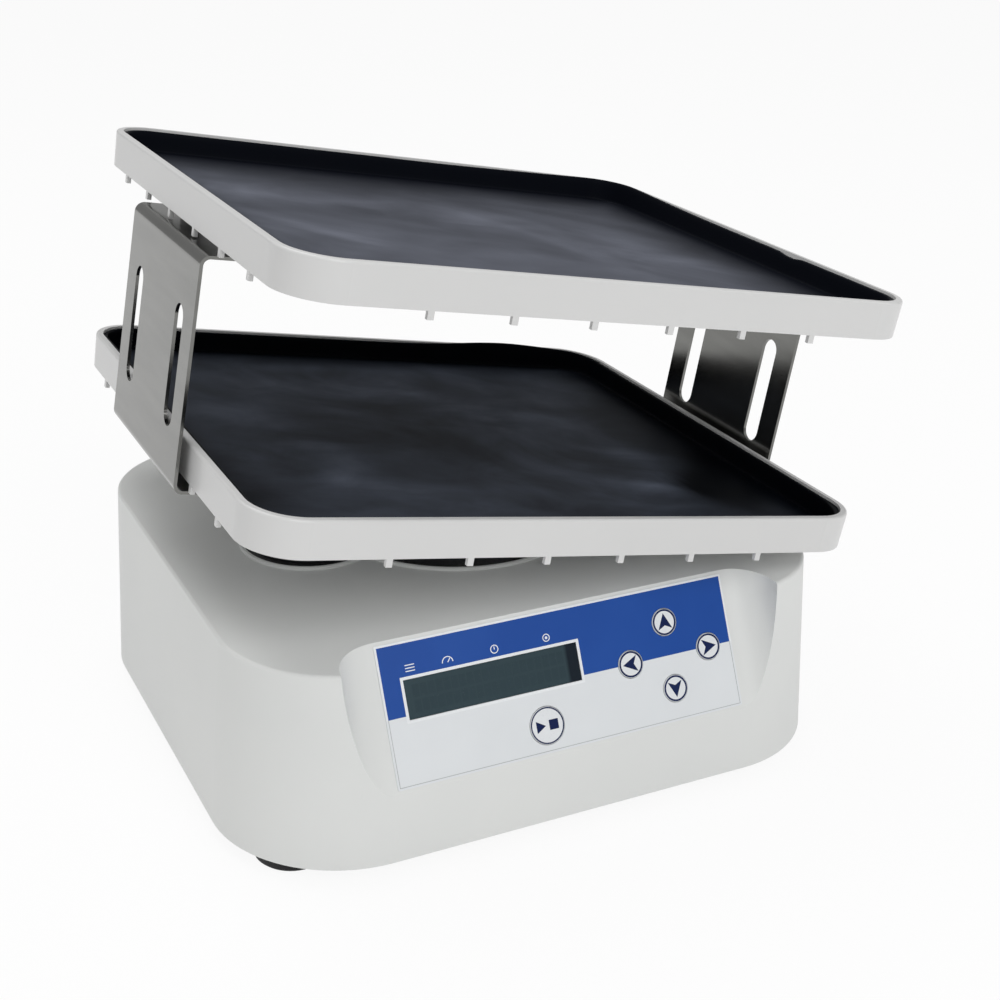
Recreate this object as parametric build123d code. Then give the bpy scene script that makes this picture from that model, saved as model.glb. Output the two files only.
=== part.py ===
from build123d import *
import os
from math import cos, radians, sin, tan

os.makedirs("parts", exist_ok=True)

# Two-tier rocking shaker. Millimetres. X runs to the right along the front, Y to the back, Z up.
# The origin is on the table under the middle of the housing. At rest the trays are tipped to the right.

# Feet and base
foot_height = 8.0
foot_radius = 17.5
foot_spacing_x = 245.0
foot_spacing_y = 201.0
foot_recess_radius = 8.0
foot_recess_depth = 3.0
foot_chamfer = 1.2
base_thickness = 3.0
base_clearance = 0.5
vent_length = 26.0
vent_width = 3.0
vent_pitch = 8.0
vent_count = 7
vent_x = 75.0
vent_y = 60.0

# Housing
housing_width = 303.7
housing_depth = 277.7
housing_corner = 62.0
housing_rise = 91.5
top_width = 290.2
top_depth = 273.9
top_corner = 55.0
top_shift_y = 3.3
top_edge_radius = 1.6
wall = 3.0
pivot_port_radius = 63.4
drive_port_radius = 32.4
port_ledge = 5.4
port_seat_depth = 1.0
port_lip_width = 1.6
port_lip_height = 1.4
post_radius = 4.5
post_bore = 1.5
post_bore_depth = 12.0
post_web = 20.0
cover_screw_reach = 10.0
side_post_x = 137.0
side_post_y = 76.0
side_post_height = 50.0
middle_post_y = 129.0
middle_post_height = 20.0

# Control panel, in its own frame: x to the right, y up the slope, z out of the panel
panel_slope = 64.3
panel_setback = 12.0
panel_height = 70.2
overlay_width = 174.5
overlay_height = 62.2
overlay_corner = 1.0
overlay_thickness = 0.5
cheek_margin = 0.4
left_cheek_radius = 22.0
right_cheek_radius = 17.0
cheek_drop = 14.0
recess_reach = 30.0
window_width = 84.0
window_height = 17.3
window_x = -34.7
window_y = 5.9
window_clearance = 0.2
module_width = 100.0
module_height = 24.0
module_depth = 7.0
module_board_margin = 5.0
pcb_thickness = 1.6
module_gap = 0.3
module_post = 1.5
display_depth = 0.8
board_width = 180.0
board_height = 57.0
board_y = -1.5
board_depth = 13.0
boss_x = 84.0
boss_y = 25.5
boss_radius = 3.0
arrow_key_radius = 6.2
start_key_radius = 8.4
key_proud = 0.3
key_clearance = 0.3
key_edge = 0.2
key_flange = 1.2
key_flange_thickness = 1.0
key_stem_radius = 1.5
key_travel = 0.5
key_stem_depth = 1.2
switch_size = 6.0
switch_height = 3.8
arrow_cluster_x = 53.5
arrow_cluster_y = -0.8
arrow_spread_x = 20.8
arrow_spread_y = 15.4
start_key_x = -13.6
start_key_y = -18.8

# Rocking platform, in its own frame: origin on the pivot axis, z square to the trays
pivot_height = 125.0
rest_tilt = 10.0
lip_height = 25.8
tier_rise = 102.3
tray_width = 300.5
tray_depth = 273.0
tray_corner = 24.0
tray_shift_y = 3.6
lip_width = 3.3
lip_round = 1.2
rim_height = 17.0
rim_taper = 0.5
tray_wall = 2.0
mat_depth = 11.0
mat_thickness = 2.0
mat_clearance = 0.3
mat_edge_drop = 0.9
mat_inner_radius = 1.2
tray_floor = 2.5
peg_pitch = 36.6
peg_count = 6
peg_width = 2.8
peg_length = 3.6
bracket_gap = 3.9
bracket_width = 101.6
sheet = 1.5
flange_reach = 30.0
bend_radius = 4.5
flange_drop = 21.2
slot_spacing = 63.0
slot_width = 11.5
slot_bottom = 1.7
slot_top = 55.7
fixing_inset = 15.0
fixing_spacing = 60.0
fixing_boss_radius = 5.0
fixing_radius = 1.9
fixing_head_radius = 3.5
fixing_head_height = 2.2
fixing_head_round = 0.8
fixing_reach = 4.5
carrier_width = 220.0
carrier_depth = 140.0
carrier_corner = 12.0
carrier_thickness = 5.0
carrier_screw_x = 80.0
carrier_screw_y = 50.0
carrier_screw_radius = 2.0
carrier_screw_head = 4.0
carrier_screw_length = 6.5
screw_cross = 4.2
screw_cross_width = 0.8
screw_cross_depth = 0.6
lug_thickness = 10.0
lug_middle = 22.0
lug_radius = 9.0
set_screw_radius = 2.0
set_screw_inset = 0.3
set_screw_hex = 1.1

# Pivot
shaft_radius = 5.0
running_clearance = 0.03
seat_clearance = 0.02
hole_clearance = 0.2
face_gap = 0.05
bush_wall = 2.0
ear_thickness = 12.0
ear_middle = 36.0
ear_rim = 2.5
head_clearance = 3.0
shaft_end = 47.0
ring_thickness = 1.0
ring_radius = 8.0
ring_groove = 0.8
ring_gap = 0.3
ring_mouth = 70.0
column_radius = 22.0
crossbar_width = 36.0
crossbar_top = 114.0
crossbar_height = 10.0
flange_width = 80.0
flange_depth = 100.0
flange_height = 6.0
flange_screw_inset = 9.0
flange_screw_radius = 2.5
flange_screw_head = 4.5
flange_screw_head_height = 4.0
flange_screw_hex = 2.3
flange_screw_hex_floor = 1.5

# Pivot boot
boot_plate = 2.0
boot_ripple_outer = 46.0
boot_ripple_count = 3
boot_ripple_height = 2.5
boot_skin = 1.2
soft_clearance = 0.3

# Drive
drive_x = -75.0
crank_height = 42.0
crank_disc_radius = 20.5
crank_disc_thickness = 6.0
crank_disc_gap = 1.0
crank_pin_radius = 3.0
roller_radius = 5.0
roller_width = 7.0
roller_edge = 0.5
crank_shaft_radius = 4.0
crank_collar = 2.0
crank_shaft_end = 3.0
disc_web = 1.0
lightening_radius = 4.0
lightening_x = 11.0
lightening_z = 7.0
slot_slack = 3.15
yoke_thickness = 9.0
yoke_wall = 5.0
yoke_corner = 4.0
rod_radius = 4.0
rod_pin_radius = 2.5
rod_eye_radius = 4.4
rod_pin_clearance = 0.15
drive_ear_thickness = 4.0
drive_ear_gap = 1.0
drive_ear_drop = 5.5
drive_ear_half_width = 10.0
pin_head_height = 1.0
pin_head_overhang = 1.2
crank_pin_head = 1.5
frame_left = -140.0
frame_right = -52.0
frame_front = 16.0
frame_plate = 7.0
frame_bay = 21.0
frame_base = 6.0
frame_top = 66.0
frame_notch = 8.0
frame_screw_inset = 4.5
guide_arm = 10.0
guide_height = 80.0
guide_thickness = 12.0
guide_width = 26.0
bearing_radius = 9.0
bearing_race = 1.8
bearing_groove = 0.5
motor_x = -108.0
motor_size = 42.0
motor_corner = 4.0
motor_length = 45.0
motor_shaft_radius = 2.5
motor_boss_radius = 11.0
motor_boss_height = 2.0
motor_screw_spacing = 31.0
motor_screw_reach = 5.0
motor_bore_depth = 12.0
motor_seam_inset = 10.0
motor_seam = 1.0
crank_pulley_radius = 20.0
motor_pulley_radius = 8.0
belt_width = 9.0
belt_thickness = 1.5
belt_clearance = 0.3
pulley_rim = 1.0
pulley_rim_height = 2.5
pulley_play = 0.5
teeth_per_radius = 1.8
tooth_groove = 0.7

# Drive boot
gaiter_flange_radius = 28.0
gaiter_flange_thickness = 1.5
gaiter_outer = 24.0
gaiter_cuff_radius = 7.0
gaiter_cuff_height = 4.0
gaiter_folds = 4
gaiter_fold_depth = 2.4
gaiter_top = 130.0
gaiter_wall = 1.9

# Rear panel and electrics
inlet_x = 95.0
inlet_height = 36.0
inlet_flange_width = 31.0
inlet_flange_height = 24.0
inlet_flange_thickness = 2.5
inlet_body_width = 27.0
inlet_body_height = 19.8
inlet_body_depth = 19.0
inlet_socket_width = 24.0
inlet_socket_height = 16.2
inlet_socket_depth = 16.0
inlet_pin_spacing = 14.0
inlet_pin_offset = 2.0
inlet_pin_width = 2.0
inlet_pin_height = 4.0
inlet_pin_length = 15.0
inlet_pin_root = 8.0
inlet_chamfer = 4.5
inlet_corner = 1.5
switch_x = 55.0
rocker_width = 15.0
rocker_height = 21.0
bezel_border = 2.2
bezel_thickness = 2.0
switch_body_depth = 20.0
switch_well_floor = 5.0
rocker_angle = 12.0
rocker_depth = 7.0
rocker_proud = 3.0
rocker_end_gap = 1.2
rocker_root = 3.0
rocker_axis_depth = 1.0
rear_pad_margin = 5.0
rear_pad_rise = 3.0
rear_pad_level = 20.0
rear_pad_depth = 0.6
rear_flange_corner = 2.2
rear_flange_edge = 0.6
supply_x = 85.0
supply_y = 70.0
supply_length = 88.0
supply_width = 70.0
supply_height = 32.0
driver_x = 88.0
driver_y = -40.0
driver_length = 80.0
driver_width = 60.0
standoff_height = 6.0
standoff_radius = 3.0
board_inset = 5.0
supply_slot_count = 6
supply_slot_pitch = 12.0
supply_slot_width = 3.0
supply_slot_depth = 1.5
heatsink_width = 24.0
heatsink_height = 14.0
capacitor_radius = 5.0
capacitor_height = 16.0
capacitor_pitch = 14.0
capacitor_count = 3
terminal_size = 12.0
terminal_height = 9.0
terminal_pitch = 20.0
terminal_count = 2

# Small screws that hold boards and covers
small_screw_radius = 1.4
small_head_radius = 2.8
small_head_height = 1.8
board_screw_length = 8.0
hex_socket = 1.3

# Places that follow from the values above
housing_bottom = foot_height
housing_top = housing_bottom + housing_rise
panel_floor = -overlay_thickness - wall
rear_limit = max(housing_depth / 2, top_depth / 2 + top_shift_y) + wall
base_top = housing_bottom + base_thickness
port_seat = housing_top - port_seat_depth
flange_level = lip_height - flange_drop
tray_underside = lip_height - mat_depth - mat_thickness - mat_clearance - tray_floor
carrier_top = tray_underside
carrier_bottom = carrier_top - carrier_thickness
plate_x = tray_width / 2 + bracket_gap
stroke = -drive_x * tan(radians(rest_tilt))
rod_pin_height = pivot_height + stroke
yoke_middle = crank_height + stroke
slot_half_height = roller_radius + slot_slack
slot_half_length = stroke + roller_radius + soft_clearance
frame_back = frame_front + frame_plate + frame_bay
bush_radius = shaft_radius + bush_wall
ear_outer = ear_middle + ear_thickness / 2
motor_front = frame_back + frame_plate
belt_middle = (frame_front + frame_plate + frame_back) / 2


def slab(outline, bottom, thickness):
    """A flat outline raised from a level."""
    return Pos(0, 0, bottom) * extrude(outline, thickness)


def bar_y(radius, front, back, x=0.0, z=0.0):
    """A round bar along Y from front to back."""
    return Pos(x, (front + back) / 2, z) * Rot(90, 0, 0) * Cylinder(radius, back - front)


def bar_z(radius, bottom, top, x=0.0, y=0.0):
    """A round bar along Z from bottom to top."""
    return Pos(x, y, (bottom + top) / 2) * Cylinder(radius, top - bottom)


def block(x0, x1, y0, y1, z0, z1):
    """A plain block between its limits."""
    centre = Pos((x0 + x1) / 2, (y0 + y1) / 2, (z0 + z1) / 2)
    return centre * Box(x1 - x0, y1 - y0, z1 - z0)


def on_platform(shape):
    """Carries a piece from the platform's frame to its place at rest."""
    return Pos(0, 0, pivot_height) * Rot(0, rest_tilt, 0) * shape


def on_trays(shape):
    """Carries a piece from the middle of the trays to its place at rest."""
    return on_platform(Pos(0, tray_shift_y, 0) * shape)


def wall_y(side, level):
    """The housing's front (-1) or rear (1) face at a level."""
    share = (level - housing_bottom) / housing_rise
    depth = housing_depth + (top_depth - housing_depth) * share
    return side * depth / 2 + top_shift_y * share


def panel_frame():
    """The frame of the sloping control panel."""
    slope = radians(panel_slope)
    outward = (0, -sin(slope), cos(slope))
    middle = (0, wall_y(-1, panel_height) + panel_setback, panel_height)
    return Plane(origin=middle, x_dir=(1, 0, 0), z_dir=outward).location


def on_panel(shape):
    """Carries a piece from the panel's frame to its place."""
    return panel_frame() * shape


def save(shape, name):
    """Writes one sub-part."""
    export_step(shape, f"parts/{name}.step")


def key_places():
    """Name, x, y and radius of the five keys on the panel."""
    return [
        ("key_up", arrow_cluster_x, arrow_cluster_y + arrow_spread_y, arrow_key_radius),
        ("key_down", arrow_cluster_x, arrow_cluster_y - arrow_spread_y, arrow_key_radius),
        ("key_left", arrow_cluster_x - arrow_spread_x, arrow_cluster_y, arrow_key_radius),
        ("key_right", arrow_cluster_x + arrow_spread_x, arrow_cluster_y, arrow_key_radius),
        ("key_start_stop", start_key_x, start_key_y, start_key_radius),
    ]


def boss_places():
    """The four bosses that hold the control board."""
    return [(x, y) for x in (-boss_x, boss_x) for y in (-boss_y, boss_y)]


def post_places():
    """x, y and height of the posts that the base plate is screwed to."""
    signs = [(sx, sy) for sx in (-1, 1) for sy in (-1, 1)]
    sides = [(sx * side_post_x, sy * side_post_y, side_post_height) for sx, sy in signs]
    return sides + [(0.0, y, middle_post_height) for y in (-middle_post_y, middle_post_y)]


def foot_places():
    """The four feet."""
    x = foot_spacing_x / 2
    y = foot_spacing_y / 2
    return [(sx * x, sy * y) for sx in (-1, 1) for sy in (-1, 1)]


def housing_form(inset, bottom, top):
    """The tapering body of the housing, drawn in by inset, between two levels."""
    sections = []
    for level in (bottom, top):
        share = (level - housing_bottom) / housing_rise
        width = housing_width + (top_width - housing_width) * share - 2 * inset
        depth = housing_depth + (top_depth - housing_depth) * share - 2 * inset
        corner = housing_corner + (top_corner - housing_corner) * share - inset
        outline = RectangleRounded(width, depth, corner)
        sections.append(Pos(0, top_shift_y * share, level) * outline)
    return loft(sections, ruled=True)


def recess_tool(skin):
    """The scoop in the front for the control panel, grown inwards by skin."""
    half = overlay_width / 2 + cheek_margin
    left = left_cheek_radius + skin
    right = right_cheek_radius + skin
    floor = -overlay_thickness - skin
    reach = floor + left + recess_reach
    with BuildSketch() as section:
        with BuildLine():
            Line((-half, floor), (half, floor))
            CenterArc((half, floor + right), right, -90, 90)
            Line((half + right, floor + right), (half + right, reach))
            Line((half + right, reach), (-half - left, reach))
            Line((-half - left, reach), (-half - left, floor + left))
            CenterArc((-half, floor + left), left, 180, 90)
        make_face()
    length = overlay_height + 2 * cheek_drop
    along_slope = Rot(90, 0, 0) * extrude(section.sketch, length)
    return on_panel(Pos(0, overlay_height / 2 + cheek_drop, 0) * along_slope)


def ports(pivot_radius, drive_radius):
    """The two overlapping round openings in the top, as one outline."""
    return Circle(pivot_radius) + Pos(drive_x, 0) * Circle(drive_radius)


def make_housing_cover():
    body = housing_form(0, housing_bottom, housing_top)
    body = fillet(body.edges().group_by(Axis.Z)[-1], top_edge_radius)
    body -= recess_tool(0)
    lip = ports(pivot_port_radius + port_lip_width, drive_port_radius + port_lip_width)
    raised = slab(lip, housing_top - wall, wall + port_lip_height)
    raised = chamfer(raised.edges().group_by(Axis.Z)[-1], port_lip_height / 3)
    body += raised
    cavity = housing_form(wall, housing_bottom - 1, housing_top - wall)
    cavity -= recess_tool(wall)
    body -= cavity
    rise = port_lip_height + wall + 2
    body -= slab(ports(pivot_port_radius, drive_port_radius), port_seat, rise)
    inner = ports(pivot_port_radius - port_ledge, drive_port_radius - port_ledge)
    body -= slab(inner, housing_top - wall - 1, rise + wall)

    form = housing_form(0, housing_bottom, housing_top - wall)
    for x, y, height in post_places():
        post = bar_z(post_radius, base_top, base_top + height, x, y)
        if x:
            far = x + post_web * (1 if x > 0 else -1)
            web = block(min(x, far), max(x, far), y - wall / 2, y + wall / 2, base_top, base_top + height)
        else:
            far = y + post_web * (1 if y > 0 else -1)
            web = block(-wall / 2, wall / 2, min(y, far), max(y, far), base_top, base_top + height)
        body += (post + web) & form
    for x, y, height in post_places():
        body -= bar_z(post_bore, base_top - 1, base_top + post_bore_depth, x, y)

    for x, y in boss_places():
        body += on_panel(bar_z(boss_radius, -board_depth, panel_floor, x, y))
    for x, y in boss_places():
        hole = bar_z(small_screw_radius + seat_clearance, -board_depth - 1, panel_floor - 2, x, y)
        body -= on_panel(hole)
    for name, x, y, radius in key_places():
        body -= on_panel(bar_z(radius + key_clearance, panel_floor - 1, 1, x, y))
        body -= on_panel(bar_z(radius + key_flange + key_clearance, -board_depth, panel_floor, x, y))
    opening = Rectangle(window_width, window_height)
    body -= on_panel(Pos(window_x, window_y, panel_floor - 1) * extrude(opening, wall + 2))

    body -= rear_opening(inlet_x, inlet_body_width, inlet_body_height)
    body -= rear_opening(switch_x, rocker_width + bezel_border, rocker_height + bezel_border)
    body -= rear_pad_cut()
    return body


def rear_opening(x, width, height):
    """The opening in the rear wall for the body of a fitting."""
    half_width = width / 2 + window_clearance
    half_height = height / 2 + window_clearance
    front = rear_seat_y() - 4 * wall
    return block(x - half_width, x + half_width, front, rear_limit, inlet_height - half_height,
                 inlet_height + half_height)


def rear_pad_cut():
    """A shallow flat on the sloping rear wall, so that the inlet and the switch seat squarely."""
    half_height = max(inlet_flange_height, rocker_height + 2 * bezel_border) / 2 + rear_pad_rise
    left = switch_x - rocker_width / 2 - bezel_border - rear_pad_margin
    right = inlet_x + inlet_flange_width / 2 + rear_pad_margin
    bottom = inlet_height - half_height
    return block(left, right, rear_seat_y(), rear_limit, bottom, bottom + 2 * half_height)


def rear_seat_y():
    """The plane of the flat that the rear fittings sit on."""
    return wall_y(1, rear_pad_level) - rear_pad_depth


def make_base_plate():
    inset = wall + base_clearance
    plate = housing_form(inset, housing_bottom, base_top)
    for x, y, height in post_places():
        plate -= bar_z(small_screw_radius + hole_clearance, housing_bottom - 1, base_top + 1, x, y)
        head_top = housing_bottom + small_head_height
        plate -= bar_z(small_head_radius + soft_clearance, housing_bottom - 1, head_top, x, y)
    for x, y in foot_places():
        plate -= bar_z(small_screw_radius + seat_clearance, housing_bottom - 1, base_top + 1, x, y)
    first = -(vent_count - 1) / 2 * vent_pitch
    slot = SlotOverall(vent_length, vent_width)
    for row in (-1, 1):
        for index in range(vent_count):
            place = Pos(vent_x + first + index * vent_pitch, row * vent_y, housing_bottom - 1)
            plate -= place * extrude(Rot(0, 0, 90) * slot, base_thickness + 2)
    for x, y in pedestal_screw_places() + frame_screw_places():
        plate -= bar_z(flange_screw_radius + seat_clearance, housing_bottom - 1, base_top + 1, x, y)
    return plate


def make_rubber_feet():
    foot = Cylinder(foot_radius, foot_height, align=(Align.CENTER, Align.CENTER, Align.MIN))
    foot = chamfer(foot.edges().group_by(Axis.Z)[0], foot_chamfer)
    foot -= bar_z(foot_recess_radius, -1, foot_recess_depth)
    foot -= bar_z(small_screw_radius + seat_clearance, -1, foot_height + 1)
    return Compound(children=[Pos(x, y, 0) * foot for x, y in foot_places()])


def make_foot_screws():
    head = bar_z(small_head_radius, foot_recess_depth - small_head_height, foot_recess_depth)
    screw = head + bar_z(small_screw_radius, foot_recess_depth, base_top)
    return Compound(children=[Pos(x, y, 0) * screw for x, y in foot_places()])


def make_cover_screws():
    head_top = housing_bottom + small_head_height - face_gap
    head = bar_z(small_head_radius, housing_bottom, head_top)
    screw = head + bar_z(small_screw_radius, head_top, base_top + cover_screw_reach)
    return Compound(children=[Pos(x, y, 0) * screw for x, y, height in post_places()])


def make_control_overlay():
    sheet_outline = RectangleRounded(overlay_width, overlay_height, overlay_corner)
    overlay = slab(sheet_outline, -overlay_thickness, overlay_thickness)
    opening = Pos(window_x, window_y) * Rectangle(window_width, window_height)
    overlay -= slab(opening, -overlay_thickness - 1, 3)
    for name, x, y, radius in key_places():
        overlay -= bar_z(radius + key_clearance, -overlay_thickness - 1, 1, x, y)
    return on_panel(overlay)


def make_lcd_window():
    width = window_width - 2 * window_clearance
    height = window_height - 2 * window_clearance
    pane = Pos(window_x, window_y, panel_floor) * extrude(Rectangle(width, height), -panel_floor - face_gap)
    return on_panel(pane)


def make_lcd_module():
    top = panel_floor - module_gap
    outline = Pos(window_x, window_y) * RectangleRounded(module_width, module_height, 1.5)
    module = slab(outline, top - module_depth, module_depth)
    glass = Pos(window_x, window_y) * Rectangle(window_width - 2, window_height - 1)
    module -= slab(glass, top - display_depth, 2 * display_depth)
    board_outline = Rectangle(module_width + 2 * module_board_margin, module_height + module_board_margin)
    board = Pos(window_x, window_y) * board_outline
    module += slab(board, top - module_depth - pcb_thickness, pcb_thickness)
    corner_x = module_width / 2 + module_board_margin / 2
    corner_y = module_height / 2
    for x in (-corner_x, corner_x):
        for y in (-corner_y, corner_y):
            back = top - module_depth - pcb_thickness
            module += bar_z(module_post, -board_depth, back, window_x + x, window_y + y)
    return on_panel(module)


def make_control_board():
    outline = Pos(0, board_y) * RectangleRounded(board_width, board_height, 2)
    board = slab(outline, -board_depth - pcb_thickness, pcb_thickness)
    for x, y in boss_places():
        board -= bar_z(small_screw_radius + hole_clearance, -board_depth - 2 * pcb_thickness, 0, x, y)
    for name, x, y, radius in key_places():
        base = Pos(x, y) * Rectangle(switch_size, switch_size)
        board += slab(base, -board_depth, switch_height)
        board -= bar_z(key_stem_radius + key_clearance, stem_end() - key_travel - key_clearance, 0, x, y)
    return on_panel(board)


def stem_end():
    """How deep a key's stem reaches when nothing presses it."""
    return -board_depth + switch_height - key_stem_depth


def make_board_screws():
    bottom = -board_depth - pcb_thickness
    head = bar_z(small_head_radius, bottom - small_head_height, bottom)
    screw = head + bar_z(small_screw_radius, bottom, bottom + board_screw_length)
    return Compound(children=[on_panel(Pos(x, y, 0) * screw) for x, y in boss_places()])


def make_key(x, y, radius):
    cap = bar_z(radius, panel_floor, key_proud)
    cap = fillet(cap.edges().group_by(Axis.Z)[-1], key_edge)
    flange_top = panel_floor - face_gap
    flange = bar_z(radius + key_flange, flange_top - key_flange_thickness, flange_top)
    stem = bar_z(key_stem_radius, stem_end(), panel_floor)
    return on_panel(Pos(x, y, 0) * (cap + flange + stem))


def pedestal_screw_places():
    """The four screws of the pedestal's foot."""
    x = flange_width / 2 - flange_screw_inset
    y = flange_depth / 2 - flange_screw_inset
    return [(sx * x, sy * y) for sx in (-1, 1) for sy in (-1, 1)]


def frame_screw_places():
    """The four screws of the drive frame's foot."""
    x0 = frame_left + flange_screw_inset
    x1 = frame_right - flange_screw_inset
    y0 = frame_front + frame_plate + frame_screw_inset
    y1 = frame_back - frame_screw_inset
    return [(x, y) for x in (x0, x1) for y in (y0, y1)]


def make_pivot_pedestal():
    foot = slab(RectangleRounded(flange_width, flange_depth, 6), base_top, flange_height)
    column = bar_z(column_radius, base_top + flange_height, crossbar_top)
    crossbar = slab(
        RectangleRounded(crossbar_width, 2 * ear_outer, 5),
        crossbar_top - crossbar_height,
        crossbar_height,
    )
    body = foot + column + crossbar
    head_radius = bush_radius + ear_rim
    for side in (-1, 1):
        front = side * ear_middle - ear_thickness / 2
        back = side * ear_middle + ear_thickness / 2
        ear = bar_y(head_radius, front, back, 0, pivot_height)
        ear += block(-head_radius, head_radius, front, back, crossbar_top - 1, pivot_height)
        body += ear
    for side in (-1, 1):
        front = side * ear_middle - ear_thickness / 2 - 1
        back = side * ear_middle + ear_thickness / 2 + 1
        body -= bar_y(bush_radius + seat_clearance, front, back, 0, pivot_height)
    for x, y in pedestal_screw_places():
        hole = flange_screw_radius + hole_clearance
        body -= bar_z(hole, base_top - 1, base_top + flange_height + 1, x, y)
    return body


def make_flange_screws(places):
    top = base_top + flange_height
    head = bar_z(flange_screw_head, top, top + flange_screw_head_height)
    hexagon = RegularPolygon(flange_screw_hex, 6)
    head -= slab(hexagon, top + flange_screw_hex_floor, flange_screw_head_height)
    screw = head + bar_z(flange_screw_radius, housing_bottom + 0.5, top)
    return Compound(children=[Pos(x, y, 0) * screw for x, y in places])


def make_pivot_bushes():
    bushes = []
    for side in (-1, 1):
        front = side * ear_middle - ear_thickness / 2
        back = side * ear_middle + ear_thickness / 2
        bush = bar_y(bush_radius, front, back, 0, pivot_height)
        bush -= bar_y(shaft_radius + running_clearance, front - 1, back + 1, 0, pivot_height)
        bushes.append(bush)
    return Compound(children=bushes)


def ring_place():
    """Where the retaining ring starts, measured from the middle of the shaft."""
    return ear_outer + ring_gap


def make_rocking_shaft():
    shaft = bar_y(shaft_radius, -shaft_end, shaft_end)
    shaft = chamfer(shaft.edges().group_by(Axis.Y)[0], 0.8)
    shaft = chamfer(shaft.edges().group_by(Axis.Y)[-1], 0.8)
    for side in (-1, 1):
        near = side * (ring_place() - face_gap)
        far = side * (ring_place() + ring_thickness + face_gap)
        band = bar_y(shaft_radius + 1, min(near, far), max(near, far))
        band -= bar_y(shaft_radius - ring_groove, min(near, far) - 1, max(near, far) + 1)
        shaft -= band
    return on_platform(shaft)


def make_retaining_rings():
    rings = []
    for side in (-1, 1):
        near = side * ring_place()
        far = side * (ring_place() + ring_thickness)
        front = min(near, far)
        back = max(near, far)
        ring = bar_y(ring_radius, front, back)
        ring -= bar_y(shaft_radius - ring_groove + face_gap, front - 1, back + 1)
        half = ring_radius * sin(radians(ring_mouth / 2))
        ring -= block(-half, half, front - 1, back + 1, -ring_radius - 1, 0)
        rings.append(on_platform(ring))
    return Compound(children=rings)


def make_set_screws():
    screws = []
    for side in (-1, 1):
        y = side * lug_middle
        screw = bar_z(set_screw_radius, -lug_radius + set_screw_inset, -shaft_radius - face_gap, 0, y)
        screw -= slab(Pos(0, y) * RegularPolygon(set_screw_hex, 6), -lug_radius, 2)
        screws.append(on_platform(screw))
    return Compound(children=screws)


def make_platform_carrier():
    outline = Pos(0, tray_shift_y) * RectangleRounded(carrier_width, carrier_depth, carrier_corner)
    plate = slab(outline, carrier_bottom, carrier_thickness)
    window_half_x = bush_radius + ear_rim + head_clearance
    window_front = ear_middle - ear_thickness / 2 - head_clearance
    window_back = shaft_end + 1
    for side in (-1, 1):
        front = min(side * window_front, side * window_back)
        back = max(side * window_front, side * window_back)
        plate -= block(-window_half_x, window_half_x, front, back, carrier_bottom - 1, carrier_top + 1)
    for side in (-1, 1):
        front = side * lug_middle - lug_thickness / 2
        back = side * lug_middle + lug_thickness / 2
        lug = bar_y(lug_radius, front, back)
        lug += block(-lug_radius, lug_radius, front, back, 0, carrier_bottom + 1)
        plate += lug
    plate -= bar_y(shaft_radius + seat_clearance, -lug_middle - lug_thickness, lug_middle + lug_thickness)
    for side in (-1, 1):
        y = side * lug_middle
        plate -= bar_z(set_screw_radius + face_gap, -lug_radius - 1, -shaft_radius + 1, 0, y)
    half_window = lug_middle - lug_thickness / 2
    half_x = lug_radius / 2
    plate -= block(-half_x, half_x, -half_window, half_window, carrier_bottom - 1, carrier_top + 1)
    middle = drive_slot_middle()
    left = middle - drive_ear_half_width
    right = middle + drive_ear_half_width
    for side in (-1, 1):
        near = side * (yoke_thickness / 2 + drive_ear_gap)
        far = side * (yoke_thickness / 2 + drive_ear_gap + drive_ear_thickness)
        plate += block(left, right, min(near, far), max(near, far), -drive_ear_drop, carrier_bottom + 1)
    pin_slot = SlotCenterToCenter(drive_slot_play(), 2 * (rod_pin_radius + rod_pin_clearance))
    plate -= Pos(middle, far, 0) * Rot(90, 0, 0) * extrude(pin_slot, 2 * far)
    for x in (-carrier_screw_x, carrier_screw_x):
        for y in (-carrier_screw_y, carrier_screw_y):
            y += tray_shift_y
            plate -= bar_z(carrier_screw_radius + seat_clearance, carrier_bottom - 1, carrier_top + 1, x, y)
    return on_platform(plate)


def drive_slot_middle():
    """The middle of the pin's path along the slot in the drive ears."""
    return (drive_x + drive_x / cos(radians(rest_tilt))) / 2


def drive_slot_play():
    """How far apart the ends of the pin's path are, with a little to spare."""
    return drive_x - drive_x / cos(radians(rest_tilt)) + 1.0


def fixing_places():
    """The bracket screws: x and y, two on each side."""
    x = tray_width / 2 - fixing_inset
    return [(sx * x, sy * fixing_spacing / 2) for sx in (-1, 1) for sy in (-1, 1)]


def peg_places():
    """Centres of the pegs under the rim, with the length each has along x and y."""
    first = -(peg_count - 1) / 2 * peg_pitch
    inset = rim_taper + tray_wall / 2
    places = []
    for index in range(peg_count):
        along = first + index * peg_pitch
        for side in (-1, 1):
            places.append((side * (tray_width / 2 - inset), along, tray_wall, peg_width))
            places.append((along, side * (tray_depth / 2 - inset), peg_width, tray_wall))
    return places


def tray_outline(draw):
    """The tray's outline, drawn in from its outer edge at the top."""
    return RectangleRounded(tray_width - 2 * draw, tray_depth - 2 * draw, tray_corner - draw)


def tray_form(inset, bottom, top):
    """The tray's tapering rim, drawn in by inset, between two levels."""
    sections = []
    for level in (bottom, top):
        draw = inset - rim_taper * level / rim_height
        sections.append(Pos(0, 0, level) * tray_outline(draw))
    return loft(sections, ruled=True)


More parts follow.
